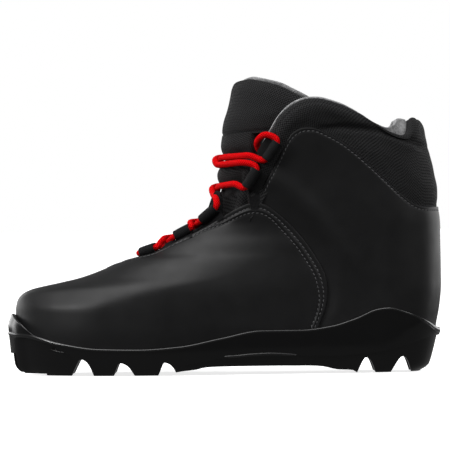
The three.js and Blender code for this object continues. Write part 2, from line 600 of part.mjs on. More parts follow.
// A path whose rings stand exactly on its points.
class Thread extends THREE.Curve {
  constructor(points) {
    super();
    this.points = points;
  }
  getPoint(t) {
    const at = Math.min(Math.max(t, 0), 1) * (this.points.length - 1);
    const i = Math.min(Math.floor(at), this.points.length - 2);
    return this.points[i].clone().lerp(this.points[i + 1], at - i);
  }
  getTangent(t) {
    const e = 0.5 / (this.points.length - 1);
    return this.getPoint(t + e).sub(this.getPoint(t - e)).normalize();
  }
  getUtoTmapping(u) {
    return u;
  }
}
function cord(points, d, sidesRound) {
  const round = new THREE.Shape(new THREE.EllipseCurve(0, 0, d / 2, d / 2).getPoints(sidesRound).slice(0, -1));
  return solid(new THREE.ExtrudeGeometry(round, { steps: points.length - 1, extrudePath: new Thread(points) }));
}
add("lace", cord(lacePoints, LACE, 8), "lace");
for (const [name, s] of sides) {
  const from = onFootbed(tailAlong.at(-1), s);
  const to = onFootbed(tipEnd, s);
  to.setY(to.y * 0.95);
  const start = from.clone().lerp(to, (2 * GAP) / from.distanceTo(to));
  add(`lace_tip_${name}`, cord([start, to], TIP, 12), "tip");
}

export default parts;
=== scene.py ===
# Cross-country ski boot for the left foot: leather vamp and quarters, woven collar and tongue, felt
# lining, red braided lace, and a glossy moulded sole with a steel toe bar.
# Lengths in the making are millimetres in the boot's own frame, and meshes are written in metres.
import math

import bmesh
import bpy
import numpy as np
from mathutils import Matrix, Vector


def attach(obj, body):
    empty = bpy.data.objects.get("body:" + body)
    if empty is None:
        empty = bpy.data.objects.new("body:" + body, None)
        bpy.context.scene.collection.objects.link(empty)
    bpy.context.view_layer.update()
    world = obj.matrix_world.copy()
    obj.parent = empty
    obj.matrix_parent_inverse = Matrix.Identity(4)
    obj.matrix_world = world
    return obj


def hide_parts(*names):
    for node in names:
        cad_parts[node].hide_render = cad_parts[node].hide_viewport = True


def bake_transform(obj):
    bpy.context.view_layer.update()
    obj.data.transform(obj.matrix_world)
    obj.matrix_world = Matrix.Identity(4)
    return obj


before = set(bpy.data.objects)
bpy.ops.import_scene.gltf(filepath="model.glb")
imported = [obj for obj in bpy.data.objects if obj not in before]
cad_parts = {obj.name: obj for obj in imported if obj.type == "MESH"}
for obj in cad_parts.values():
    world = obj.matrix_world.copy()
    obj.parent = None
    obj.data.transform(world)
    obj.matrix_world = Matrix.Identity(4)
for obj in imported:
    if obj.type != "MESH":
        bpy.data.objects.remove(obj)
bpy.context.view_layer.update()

MM = 0.001
SIDES = (("lateral", -1), ("medial", 1))


# ---------- curves ----------

def through(*knots):
    """A smooth function through (x, y) knots that keeps between them and is level beyond the ends."""
    xs, ys = np.array(knots, float).T
    rise = np.diff(ys) / np.diff(xs)
    slope = np.zeros(len(xs))
    for i in range(1, len(xs) - 1):
        a, b = rise[i - 1], rise[i]
        if a * b > 0:
            slope[i] = 2 * a * b / (a + b)

    def value(x):
        x = np.asarray(x, float)
        i = np.clip(np.searchsorted(xs, x, side="right") - 1, 0, len(xs) - 2)
        h = xs[i + 1] - xs[i]
        t = np.clip((x - xs[i]) / h, 0, 1)
        s = 1 - t
        bend = h * t * s * (slope[i] * s - slope[i + 1] * t)
        return ys[i] * s * s * (1 + 2 * t) + ys[i + 1] * t * t * (3 - 2 * t) + bend
    return value


def step(x, a, b):
    """0 up to a, 1 from b on, and smooth between them."""
    t = np.clip((np.asarray(x, float) - a) / (b - a), 0, 1)
    return t * t * (3 - 2 * t)


def mix(a, b, t):
    return a + (b - a) * t


def rounded(t):
    """A quarter circle: 0 at 0, and 1 from 1 on."""
    return np.sqrt(1 - (1 - np.clip(t, 0, 1)) ** 2)


def bump(x, middle, width):
    """A smooth hump of height 1 round the middle."""
    return np.exp(-(((np.asarray(x, float) - middle) / width) ** 2))


def smooth_line(points, count):
    """Points spread evenly along a smooth line through the given points, in two or three dimensions."""
    p = np.array(points, float)
    p = np.vstack([2 * p[0] - p[1], p, 2 * p[-1] - p[-2]])
    dense = []
    for i in range(1, len(p) - 2):
        t = np.linspace(0, 1, 24, endpoint=False)[:, None]
        a, b, c, d = p[i - 1:i + 3]
        dense.append(0.5 * (2 * b + (c - a) * t + (2 * a - 5 * b + 4 * c - d) * t**2
                            + (3 * b - a - 3 * c + d) * t**3))
    dense = np.vstack(dense + [p[-2][None]])
    along = np.concatenate([[0], np.cumsum(np.linalg.norm(np.diff(dense, axis=0), axis=1))])
    at = np.linspace(0, along[-1], count)
    return np.stack([np.interp(at, along, dense[:, k]) for k in range(dense.shape[1])], axis=1)


# ---------- the boot's form ----------

front_at = through(
    (8, -139), (20, -142.6), (44, -143.9), (51, -142.6), (55.5, -139), (58.4, -133), (60.4, -125),
    (63, -112.5), (66, -99.5), (70.6, -86), (75, -75.5), (78.5, -66.5), (82, -56), (89, -43),
    (96.6, -29.5), (104.5, -20.5), (112, -18.2), (134, -14.8), (150, -12.6), (168, -9.6), (184, -4.8),
    (200, -1.6), (216, 2))
back_at = through(
    (8, 141), (20, 144.3), (32, 145.8), (45, 148.2), (60, 149.6), (100, 149.4), (113, 148.2),
    (131, 146.2), (153, 143), (163.6, 139.7), (170, 136.3), (175.5, 132), (190, 124), (216, 117))
foot_half = through(
    (-145, 38), (-115, 42), (-85, 45), (-55, 46.5), (-25, 44.5), (5, 40), (40, 36), (75, 34), (145, 34))
swing = through((-143, 3), (-115, 2.4), (-80, -0.8), (-50, -2.4), (0, -2.8), (40, -2), (85, 0))
shaft_half = through((90, 35.5), (110, 36), (135, 36.8), (160, 39), (190, 41.5))
toe_round = through((20, 56), (45, 62), (60, 98), (92, 96), (112, 56), (130, 48), (216, 50))
toe_fullness = through((40, 0.5), (62, 0.43), (98, 0.41), (120, 0.5))
heel_round = through((20, 37), (100, 40), (160, 46))


def half_width(x, z):
    """From the foot's middle line to the upper's side, between the toe's and the heel's round ends."""
    side = mix(foot_half(x), shaft_half(z), step(z, 42, 118))
    nose = rounded((x - front_at(z)) / toe_round(z)) ** (2 * toe_fullness(z))
    tail = rounded((back_at(z) - x) / heel_round(z))
    return side * nose * tail * (1 - 0.04 * (1 - step(z, 10, 34)))


def upper_at(turn, z):
    """The upper's outer face. The turn is 0 at the toe, positive on the lateral side, pi at the heel."""
    turn, z = np.broadcast_arrays(np.asarray(turn, float), np.asarray(z, float))
    x = (front_at(z) + back_at(z)) / 2 - ((back_at(z) - front_at(z)) / 2) * np.cos(turn)
    middle = swing(x) * (1 - step(z, 55, 85))
    return np.stack([x, middle - np.sign(np.sin(turn)) * half_width(x, z), z], axis=-1)


def turn_of(x, z):
    """The turn round the boot on the lateral side where the upper's face is at (x, z) in the side view."""
    middle = (front_at(z) + back_at(z)) / 2
    reach = (back_at(z) - front_at(z)) / 2
    return np.arccos(np.clip((middle - x) / reach, -1, 1))


def outward(turn, z):
    """Unit vectors out of the upper's face."""
    d = 0.004
    along = upper_at(turn + d, z) - upper_at(turn - d, z)
    up = upper_at(turn, z + 0.15) - upper_at(turn, z - 0.15)
    n = np.cross(along, up)
    return n / np.maximum(np.linalg.norm(n, axis=-1, keepdims=True), 1e-9)


def beside(x, z, side, inset):
    """The point of the face at (x, z) in the side view, sunk by the inset, and its normal out of the boot.

    The side is -1 for lateral and 1 for medial.
    """
    e = 0.3
    dx = (half_width(x + e, z) - half_width(x - e, z)) / (2 * e)
    dz = (half_width(x, z + e) - half_width(x, z - e)) / (2 * e)
    normal = np.array([-dx, side, -dz], float)
    normal /= np.linalg.norm(normal)
    middle = swing(x) * (1 - step(z, 55, 85))
    return np.array([x, middle + side * half_width(x, z), z], float) - inset * normal, normal


# ---------- layers and seam lines ----------

GAP = 0.3
SHELL = 1.8
FELT = 2.4
FOOTBED_TOP = 8.4  # above the sole's web
floor_at = through(
    (-145, 21), (-125, 19), (-100, 15), (-70, 14), (-20, 14), (10, 16), (50, 21), (80, 22.6), (145, 23))


def felt_out(z):
    return mix(4.0, 6.8, step(z, 104, 122))


def tongue_out(x, z):
    pressed = 4.5 * (bump(z, 128, 5.5) + bump(z, 148, 5.5)) * (1 - step(x, 4, 24))
    return mix(6.7, 10.1, step(z, 99, 116)) + pressed


VAMP_TOP = [
    (-71, 77.5), (-57, 80.9), (-44, 85), (-30, 91.6), (-16, 98.4), (-1, 107), (10, 113.3), (19, 116.4),
    (28, 115.2), (37.5, 108.5), (48, 98.7), (58.3, 85.7), (67.3, 70.5), (70.5, 58), (69.3, 46), (65, 34),
    (60, 20)]
QUARTER_TOP = [
    (19, 111), (26.8, 125.5), (31, 133.7), (36, 142.8), (42.3, 155.7), (46.5, 162.5), (51.4, 166),
    (56.5, 167.2), (64, 166.2), (77.5, 159.6), (88, 152.2), (98, 143.3), (108.3, 133.6), (118.5, 123.8),
    (128.8, 115.6), (137, 112.8), (148.1, 112.8)]
COLLAR_TOP = [
    (17.5, 108), (15.6, 121), (16, 129), (18.6, 138), (22.9, 149), (27.3, 157), (32.7, 165),
    (38.6, 174.4), (46.5, 181.8), (54, 185.8), (61, 187), (70, 186), (88, 179.3), (101.8, 172),
    (114, 165), (123, 162.2), (127.5, 163.8), (129.4, 169), (129.8, 174.2), (131.4, 175.6)]
RIM_SIDE = [
    (-113.7, 22.1), (-86, 18), (-58.6, 17.4), (-31, 19.1), (-3.3, 24.3), (25.7, 29.4), (52, 29.4),
    (72.7, 31.8), (90, 37.1), (103.9, 42.9), (112, 43.9), (124.5, 40.9)]
RIM = [(-151, 43.5), (-141.2, 36.2), (-134.4, 30.6), (-127.5, 26.4), *RIM_SIDE, (138.3, 34.9), (147, 29.8)]
rim_at = through(*RIM, (151, 28.6))


# ---------- camera ----------

DISTANCE = 2.6
VIEW_WIDTH = 0.3105
VIEW_MIDDLE = (0.0010, 0.1016)
ROLL = 0.0108

camera = bpy.data.objects.new("camera", bpy.data.cameras.new("camera"))
bpy.context.scene.collection.objects.link(camera)
bpy.context.scene.camera = camera
camera.data.sensor_width = 36
camera.data.lens = 36 * DISTANCE / VIEW_WIDTH
camera.data.clip_end = 200
camera.location = (VIEW_MIDDLE[0], -DISTANCE, VIEW_MIDDLE[1])
camera.rotation_euler = (math.pi / 2, ROLL, 0)


# ---------- meshes ----------

def finished(name, work, look, body="boot", smooth=45):
    """A new piece from a bmesh in metres."""
    mesh = bpy.data.meshes.new(name)
    work.to_mesh(mesh)
    work.free()
    mesh.shade_smooth()
    mesh.set_sharp_from_angle(angle=math.radians(smooth))
    if look:
        mesh.materials.append(look)
    piece = bpy.data.objects.new(name, mesh)
    bpy.context.scene.collection.objects.link(piece)
    if body:
        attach(piece, body)
    return piece


def laid(name, outer, inner=None, uv=None, look=None, body="boot", seam=False, smooth=45):
    """A grid laid over points, and a second skin on inner points where the piece has a thickness.

    The seam is where the first and last columns, or a pole's points, meet and are welded.
    """
    n, m = outer.shape[:2]
    work = bmesh.new()
    bmesh.ops.create_grid(work, x_segments=n - 1, y_segments=m - 1, size=1)
    key = work.verts.layers.int.new("key")
    for vert in work.verts:
        vert[key] = round((vert.co.x + 1) / 2 * (n - 1)) * m + round((vert.co.y + 1) / 2 * (m - 1))
    front = len(work.verts)
    if inner is not None:
        bmesh.ops.extrude_face_region(work, geom=work.faces[:], use_keep_orig=True)
    work.verts.index_update()
    spots = [outer.reshape(-1, 3) * MM]
    spots.append(spots[0] if inner is None else inner.reshape(-1, 3) * MM)
    for vert in work.verts:
        vert.co = spots[vert.index >= front][vert[key]]
    if uv is not None:
        cloth = work.loops.layers.uv.new("cloth")
        flat = uv.reshape(-1, 2)
        for face in work.faces:
            for loop in face.loops:
                loop[cloth].uv = flat[loop.vert[key]]
    if seam:
        bmesh.ops.remove_doubles(work, verts=work.verts[:], dist=0.00002)
    bmesh.ops.recalc_face_normals(work, faces=work.faces[:])
    work.verts.layers.int.remove(key)
    return finished(name, work, look, body, smooth)


def arc_lengths(grid, axis):
    gaps = np.linalg.norm(np.diff(grid, axis=axis), axis=-1)
    start = np.zeros_like(np.take(gaps, [0], axis=axis))
    return np.concatenate([start, np.cumsum(gaps, axis=axis)], axis=axis)


def distance_to(line, x, z):
    """Distance in the side view from each (x, z) to a line of points."""
    p = np.array(line, float)
    best = np.full(np.shape(x), 1e9)
    for a, b in zip(p[:-1], p[1:]):
        d = b - a
        t = np.clip(((x - a[0]) * d[0] + (z - a[1]) * d[1]) / max(d @ d, 1e-9), 0, 1)
        best = np.minimum(best, np.hypot(x - a[0] - t * d[0], z - a[1] - t * d[1]))
    return best


def distance_behind(line, x, z):
    """Distance in the side view past a line that runs back from the toe; zero on its lower, front side."""
    p = np.array(line, float)
    gap = np.hypot(np.asarray(x)[..., None] - p[:, 0], np.asarray(z)[..., None] - p[:, 1])
    nearest = gap.argmin(axis=-1)
    ahead = np.gradient(p, axis=0)[nearest]
    past = (z - p[nearest, 1]) * ahead[..., 0] - (x - p[nearest, 0]) * ahead[..., 1]
    return np.where(past > 0, gap.min(axis=-1), 0.0)


EDGE_ROWS = np.array([
    0, 0.12, 0.3, 0.55, 0.85, 1.2, 1.6, 2.1, 2.6, 3.1, 3.6, 4.2, 4.9, 5.6, 6.2, 6.8, 7.5, 8.3, 9.2, 10.2])


class Panel:
    """A stretch of the upper between a top and a bottom edge, both given as (x, z) in the side view.

    Its rows crowd together along the top edge. It may run on round the toe or the heel to the other side.
    """

    def __init__(self, top, bottom, columns, rows, round_the=None, medial=False, near=EDGE_ROWS):
        a, b = smooth_line(top, columns), smooth_line(bottom, columns)
        ta, tb = turn_of(a[:, 0], a[:, 1]), turn_of(b[:, 0], b[:, 1])
        trial = np.linspace(0, 1, 60)
        line = upper_at(mix(ta[:, None], tb[:, None], trial), mix(a[:, 1:], b[:, 1:], trial))
        share = []
        for row in arc_lengths(line, 1):
            close = np.minimum(near, row[-1] * np.linspace(0, 0.6, len(near)))
            rest = np.linspace(close[-1], row[-1], rows - len(near) + 1)[1:]
            share.append(np.interp(np.concatenate([close, rest]), row, trial))
        share = np.array(share)
        self.turn = mix(ta[:, None], tb[:, None], share)
        self.z = mix(a[:, 1:], b[:, 1:], share)
        if medial:
            self.turn = -self.turn
        if round_the == "toe":
            self.turn = np.concatenate([-self.turn[::-1], self.turn[1:]])
            self.z = np.concatenate([self.z[::-1], self.z[1:]])
        if round_the == "heel":
            self.turn = np.concatenate([self.turn, 2 * math.pi - self.turn[-2::-1]])
            self.z = np.concatenate([self.z, self.z[-2::-1]])
        self.face = upper_at(self.turn, self.z)
        self.x = self.face[..., 0]
        self.normal = outward(self.turn, self.z)
        self.depth = arc_lengths(self.face, 1)
        along = arc_lengths(self.face, 0)[:, rows // 2]
        self.uv = np.stack([along[:, None] + 0 * self.depth, self.depth], axis=-1)

    def raised(self, lift):
        return self.face + self.normal * (np.zeros_like(self.depth) + lift)[..., None]

    def row_at(self, distance, lift):
        """Points and normals at that distance from the top edge, one value or one for each column."""
        surface = self.raised(lift)
        points, normals = [], []
        for i, (depth, off) in enumerate(zip(self.depth, np.broadcast_to(distance, len(self.depth)))):
            points.append([np.interp(off, depth, surface[i, :, k]) for k in range(3)])
            normals.append([np.interp(off, depth, self.normal[i, :, k]) for k in range(3)])
        return np.array(points), np.array(normals)


def cut_edge(depth, radius=0.8):
    """How far a cut edge drops within its rounding radius."""
    t = np.clip(depth / radius, 0, 1)
    return -radius * (1 - np.sqrt(1 - (1 - t) ** 2))


def stitch_dents(depth, rows):
    """A dent along each stitch row."""
    return sum(-0.3 * bump(depth, row, 0.8) for row in rows)


def frames_along(points):
    """Unit vectors beside and over a path, turned as little as possible from point to point."""
    along = np.gradient(points, axis=0)
    along /= np.linalg.norm(along, axis=1, keepdims=True)
    side = np.cross(along[0], (0.3, 0.2, 1.0))
    sides = []
    for t in along:
        side = side - t * side.dot(t)
        side /= np.linalg.norm(side)
        sides.append(side)
    sides = np.array(sides)
    return sides, np.cross(along, sides)


def swept(points, radius, around):
    """Points round a path and their cloth coordinates. The radius is given for each point and angle."""
    side, over = frames_along(points)
    angle = np.linspace(0, 2 * math.pi, around + 1)
    r = radius[..., None]
    ring = np.cos(angle)[None, :, None] * side[:, None] + np.sin(angle)[None, :, None] * over[:, None]
    run = arc_lengths(points, 0)
    uv = np.stack([run[:, None] + 0 * angle, r[..., 0].mean() * angle + 0 * run[:, None]], axis=-1)
    return points[:, None] + ring * r, uv


STITCH_PITCH = 3.05
STITCH_LENGTH = 2.4
STITCH_WIDTH = 0.66
STITCH_HEIGHT = 0.42 * STITCH_WIDTH
STITCH_SLANT = 0.16  # each thread lies a little across its row


def stitches(name, rows, look):
    """Short rounded threads along each row of (points, normals), in one piece."""
    work = bmesh.new()
    for points, normals in rows:
        run = arc_lengths(points, 0)
        count = int(run[-1] / STITCH_PITCH)
        for s in (np.arange(count) + 0.5) * run[-1] / max(count, 1):
            at, ahead, behind = (
                np.array([np.interp(s + d, run, points[:, k]) for k in range(3)]) for d in (0, 0.6, -0.6))
            n = np.array([np.interp(s, run, normals[:, k]) for k in range(3)])
            along = (ahead - behind) / np.linalg.norm(ahead - behind)
            n -= along * n.dot(along)
            n /= np.linalg.norm(n)
            along = along + STITCH_SLANT * np.cross(n, along)
            along /= np.linalg.norm(along)
            across = np.cross(n, along)
            middle = at + n * STITCH_WIDTH * 0.16
            sizes = along * STITCH_LENGTH / 2, across * STITCH_WIDTH / 2, n * STITCH_HEIGHT
            rows_of_place = [[*(size[i] for size in sizes), middle[i]] for i in range(3)]
            place = Matrix(rows_of_place + [[0, 0, 0, 1 / MM]]) * MM
            place[3][3] = 1
            bmesh.ops.create_uvsphere(work, u_segments=8, v_segments=5, radius=1, matrix=place)
    finished(name, work, look, smooth=80)


WIDE = 120  # past the boot's sides
AROUND = 200


def prism(outline, half=WIDE):
    """A block right across the boot, from an (x, z) outline in the side view."""
    work = bmesh.new()
    ring = [work.verts.new((x * MM, -half * MM, z * MM)) for x, z in outline]
    face = work.faces.new(ring)
    grown = bmesh.ops.extrude_face_region(work, geom=[face], use_keep_orig=True)
    moved = [g for g in grown["geom"] if isinstance(g, bmesh.types.BMVert)]
    bmesh.ops.translate(work, verts=moved, vec=(0, 2 * half * MM, 0))
    bmesh.ops.triangulate(work, faces=work.faces[:])
    bmesh.ops.recalc_face_normals(work, faces=work.faces[:])
    return finished("cutter", work, None, None)


def lofted(at, levels):
    """A closed body through level rings, at(turn, z) giving the points."""
    turn = np.linspace(0, 2 * math.pi, AROUND + 1)[:, None]
    z = np.array(levels, float)[None, :]
    points = at(turn, z)
    points[-1] = points[0]
    ends = [points[:, [k]].mean(axis=0, keepdims=True) + 0 * points[:, [k]] for k in (0, -1)]
    points = np.concatenate([ends[0], points, ends[1]], axis=1)
    return laid("body", points, seam=True, body=None)


def carved(piece, cutter, operation="DIFFERENCE"):
    """Takes the cutter away from the piece, or keeps the piece only where both are."""
    cut = piece.modifiers.new("cut", "BOOLEAN")
    cut.operation = operation
    cut.solver = "MANIFOLD"
    cut.object = cutter
    bpy.context.view_layer.update()
    made = bpy.data.meshes.new_from_object(piece.evaluated_get(bpy.context.evaluated_depsgraph_get()))
    piece.modifiers.clear()
    piece.data = made
    bpy.data.objects.remove(cutter)


# ---------- materials ----------

class Look:
    """A node material built step by step round one Principled shader."""

    def __init__(self, name, color, roughness, specular=0.5):
        self.material = bpy.data.materials.new(name)
        self.material.use_nodes = True
        self.tree = self.material.node_tree
        self.shader = self.tree.nodes["Principled BSDF"]
        self.shader.inputs["Base Color"].default_value = (*color, 1)
        self.shader.inputs["Roughness"].default_value = roughness
        self.shader.inputs["Specular IOR Level"].default_value = specular

    def node(self, kind, **values):
        made = self.tree.nodes.new(kind)
        for key, value in values.items():
            setattr(made, key, value)
        return made

    def link(self, a, b):
        self.tree.links.new(a, b)

    def place(self, kind="Object"):
        return self.node("ShaderNodeTexCoord").outputs[kind]

    def noise(self, scale, detail, coords=None, roughness=0.5):
        noise = self.node("ShaderNodeTexNoise")
        noise.inputs["Scale"].default_value = scale
        noise.inputs["Detail"].default_value = detail
        noise.inputs["Roughness"].default_value = roughness
        self.link(coords or self.place(), noise.inputs["Vector"])
        return noise.outputs["Fac"]

    def math(self, operation, a, b=None):
        made = self.node("ShaderNodeMath", operation=operation)
        for socket, value in zip(made.inputs, (a, b)):
            if value is None:
                continue
            if isinstance(value, (int, float)):
                socket.default_value = value
            else:
                self.link(value, socket)
        return made.outputs[0]

    def ramp(self, fac, low, high, a, b):
        """Colours or values a to b as fac goes from low to high."""
        made = self.node("ShaderNodeMapRange", clamp=True)
        for key, value in (("From Min", low), ("From Max", high), ("To Min", a), ("To Max", b)):
            made.inputs[key].default_value = value
        self.link(fac, made.inputs["Value"])
        return made.outputs["Result"]

    def blend(self, fac, a, b):
        made = self.node("ShaderNodeMix", data_type="RGBA")
        made.inputs["A"].default_value = (*a, 1)
        made.inputs["B"].default_value = (*b, 1)
        self.link(fac, made.inputs["Factor"])
        return made.outputs["Result"]

    def color(self, socket):
        self.link(socket, self.shader.inputs["Base Color"])

    def rough(self, socket):
        self.link(socket, self.shader.inputs["Roughness"])

    def relief(self, height, distance, strength):
        """A bump over the ones already there, its distance in metres."""
        made = self.node("ShaderNodeBump")
        made.inputs["Distance"].default_value = distance
        made.inputs["Strength"].default_value = strength
        self.link(height, made.inputs["Height"])
        last = self.shader.inputs["Normal"]
        if last.is_linked:
            self.link(last.links[0].from_socket, made.inputs["Normal"])
        self.link(made.outputs["Normal"], last)

    def sheen(self, amount, roughness):
        self.shader.inputs["Sheen Weight"].default_value = amount
        self.shader.inputs["Sheen Roughness"].default_value = roughness
        self.shader.inputs["Sheen Tint"].default_value = (1, 1, 1, 1)

    def glow(self, strength):
        self.shader.inputs["Emission Color"].default_value = (1, 1, 1, 1)
        self.shader.inputs["Emission Strength"].default_value = strength


def leather_look():
    look = Look("black_leather", (0.0065, 0.0065, 0.0068), 0.44, 0.3)
    pores = look.noise(1500, 2)
    patches = look.noise(26, 3)
    patchy = look.ramp(patches, 0.3, 0.7, 0, 1)
    look.color(look.blend(patchy, (0.0052, 0.0052, 0.0055), (0.0078, 0.0078, 0.0082)))
    look.rough(look.ramp(look.noise(90, 4), 0.3, 0.7, 0.42, 0.5))
    look.relief(pores, 0.00006, 0.35)
    look.relief(look.noise(220, 2), 0.0002, 0.12)
    return look.material


def weave_height(look, coords, pitch, turn):
    """Threads that pass over and under each other, from the piece's cloth coordinates in millimetres."""
    mapping = look.node("ShaderNodeMapping")
    mapping.inputs["Rotation"].default_value = (0, 0, turn)
    mapping.inputs["Scale"].default_value = (1 / pitch, 1 / pitch, 1)
    look.link(coords, mapping.inputs["Vector"])
    parts = look.node("ShaderNodeSeparateXYZ")
    look.link(mapping.outputs["Vector"], parts.inputs[0])
    u, v = parts.outputs[0], parts.outputs[1]
    round_u = look.math("ABSOLUTE", look.math("SINE", look.math("MULTIPLY", u, math.pi)))
    round_v = look.math("ABSOLUTE", look.math("SINE", look.math("MULTIPLY", v, math.pi)))
    odd = look.math("ADD", look.math("FLOOR", u), look.math("FLOOR", v))
    over = look.math("GREATER_THAN", look.math("FRACT", look.math("MULTIPLY", odd, 0.5)), 0.25)
    warp = look.math("MULTIPLY", round_u, look.math("ADD", look.math("MULTIPLY", over, 0.6), 0.4))
    under = look.math("SUBTRACT", 1.0, over)
    weft = look.math("MULTIPLY", round_v, look.math("ADD", look.math("MULTIPLY", under, 0.6), 0.4))
    return look.math("MAXIMUM", warp, weft)


def cloth_look(name, pitch, turn, dark, light):
    """A weave of threads, the pitch in millimetres, darker between the threads: that darkening is painted
    shade.
    """
    look = Look(name, light, 0.8, 0.1)
    coords = look.place("UV")
    height = weave_height(look, coords, pitch, turn)
    fray = look.noise(900, 3)
    # Where the weave is low the colour goes to the first colour given: painted shade between the threads,
    # over the threads' own colour.
    look.color(look.blend(look.ramp(height, 0.25, 0.95, 0, 1), dark, light))
    look.rough(look.ramp(fray, 0.3, 0.7, 0.62, 0.85))
    look.relief(height, 0.00035, 1.0)
    look.relief(fray, 0.00008, 0.4)
    return look.material


def felt_look():
    look = Look("grey_felt", (0.2, 0.2, 0.205), 0.95, 0.15)
    fleck = look.noise(650, 5, roughness=0.75)
    broad = look.noise(140, 3)
    both = look.math("ADD", look.math("MULTIPLY", fleck, 0.65), look.math("MULTIPLY", broad, 0.35))
    look.color(look.blend(look.ramp(both, 0.38, 0.62, 0, 1), (0.13, 0.13, 0.134), (0.44, 0.44, 0.445)))
    look.relief(fleck, 0.0006, 0.8)
    look.sheen(0.35, 0.6)
    return look.material


def thread_look():
    look = Look("grey_thread", (0.05, 0.05, 0.052), 0.6, 0.4)
    fibres = look.ramp(look.noise(1400, 3), 0.35, 0.65, 0, 1)
    look.color(look.blend(fibres, (0.05, 0.05, 0.052), (0.12, 0.12, 0.124)))
    look.relief(look.noise(2600, 2), 0.00012, 0.8)
    return look.material


def sole_look():
    look = Look("gloss_sole", (0.0022, 0.0022, 0.0024), 0.15, 0.45)
    look.rough(look.ramp(look.noise(60, 4), 0.3, 0.7, 0.13, 0.24))
    look.relief(look.noise(340, 2), 0.00005, 0.25)
    soft = look.node("ShaderNodeBevel", samples=4)
    soft.inputs["Radius"].default_value = 0.0006
    look.link(soft.outputs["Normal"], look.tree.nodes["Bump"].inputs["Normal"])
    return look.material


def edge_look():
    look = Look("polished_sole_edge", (0.004, 0.004, 0.0043), 0.24, 0.65)
    look.rough(look.ramp(look.noise(80, 4), 0.3, 0.7, 0.2, 0.3))
    look.relief(look.noise(340, 2), 0.00004, 0.25)
    return look.material


def lace_look():
    look = Look("red_lace", (0.55, 0.003, 0.004), 0.8, 0.03)
    braid = weave_height(look, look.place("UV"), 1.15, math.radians(45))
    fuzz = look.noise(2300, 3)
    both = look.math("ADD", look.math("MULTIPLY", braid, 0.8), look.math("MULTIPLY", fuzz, 0.3))
    # The colour goes darker where the braid is low: painted shade between the strands, with the fuzz's
    # random tone mixed in.
    look.color(look.blend(look.ramp(both, 0.45, 1.0, 0, 1), (0.36, 0.001, 0.002), (1.0, 0.004, 0.007)))
    look.relief(braid, 0.0004, 0.9)
    look.relief(fuzz, 0.0001, 0.4)
    return look.material


def steel_look():
    look = Look("bright_steel", (0.56, 0.56, 0.58), 0.28)
    look.shader.inputs["Metallic"].default_value = 1
    stretched = look.node("ShaderNodeMapping")
    stretched.inputs["Scale"].default_value = (1, 0.06, 1)
    look.link(look.place(), stretched.inputs["Vector"])
    scratches = look.noise(2200, 3, stretched.outputs["Vector"])
    look.rough(look.ramp(scratches, 0.3, 0.7, 0.2, 0.36))
    look.relief(scratches, 0.00004, 0.4)
    return look.material


def foam_look(name, low, high):
    look = Look(name, high, 0.9, 0.2)
    cells = look.noise(1100, 3)
    look.color(look.blend(look.ramp(cells, 0.35, 0.65, 0, 1), low, high))
    look.relief(cells, 0.0002, 0.5)
    return look.material


LEATHER = leather_look()
# The first colour of each cloth is painted shade between its threads; the second is the threads' own
# colour.
CLOTH = cloth_look("black_cloth", 1.5, math.radians(45), (0.001, 0.001, 0.0011), (0.034, 0.034, 0.035))
RIBBED = cloth_look("black_webbing", 1.0, 0.0, (0.002, 0.002, 0.0022), (0.017, 0.017, 0.018))
FELT_LOOK = felt_look()
THREAD = thread_look()
SOLE = sole_look()
EDGE = edge_look()
LACE_LOOK = lace_look()
TIP_LOOK = Look("lace_tip_film", (0.3, 0.006, 0.008), 0.22).material
STEEL = steel_look()
FOAM = foam_look("dark_foam", (0.02, 0.02, 0.021), (0.05, 0.05, 0.052))
BOARD = foam_look("fibre_board", (0.14, 0.1, 0.07), (0.2, 0.15, 0.1))


# ---------- lace ----------

LACE = 4.4
FREE_END = 2.2  # the lace runs straight this far out of each loop
CROSSING = LACE + GAP
LOOP_OUT = 3.8
TONGUE_CURVE = 15  # radius across the tongue's front
ON_LOWER_FACING = SHELL - LOOP_OUT
ON_UPPER_FACING = -GAP - LOOP_OUT
LOOP_SEATS = [
    ((-55.8, 81.6), (-46.6, 84.8), ON_LOWER_FACING),
    ((-32, 92.9), (-22.5, 98), ON_LOWER_FACING),
    ((-13.2, 105.2), (-4.2, 113.2), ON_LOWER_FACING),
    ((17, 127.6), (23.6, 139), ON_UPPER_FACING),
    ((30, 146.4), (37, 157.4), ON_UPPER_FACING),
]
ON_FACE = LACE / 2 + GAP
CROSSINGS = [
    dict(z=90.6, lift=4.7, leave=[], arrive=[], shoulder=0),
    dict(z=102.6, lift=4.2, leave=[], arrive=[], shoulder=0),
    dict(z=128, lift=ON_FACE, leave=[(-5, 120, 0)], arrive=[(8.5, 129.8, -0.5)], shoulder=6.5),
    dict(z=148, lift=ON_FACE + 0.3, leave=[(20.5, 143.4, -3.2), (13, 144.2, -1.2)],
         arrive=[(19, 149, -2.2)], shoulder=6.5),
]


def loop_frame(seat, side):
    """The ends of a loop's middle line, and unit vectors along it, out of the boot and towards the sole."""
    (a, na), (b, nb) = (beside(x, z, side, seat[2]) for x, z in seat[:2])
    along = (b - a) / np.linalg.norm(b - a)
    up = na + nb
    up = up - along * up.dot(along)
    up /= np.linalg.norm(up)
    out = np.cross(up, along)
    out /= np.linalg.norm(out)
    if out[1] * side < 0:
        out = -out
    return a, b, along, up, out


def over_tongue(y, z, lift):
    rise = np.array([front_at(z + 0.5) - front_at(z - 0.5), 0, 1.0])
    rise /= np.linalg.norm(rise)
    out = np.array([-rise[2], 0, rise[0]])
    x = float(front_at(z))
    point = np.array([x, 0, z]) + out * (lift - tongue_out(x, z) - y * y / TONGUE_CURVE / 2)
    point[1] = y
    return point


def loop_path(side, level):
    a, b, along, _, _ = loop_frame(LOOP_SEATS[level], side)
    return [a - along * FREE_END, b + along * FREE_END]


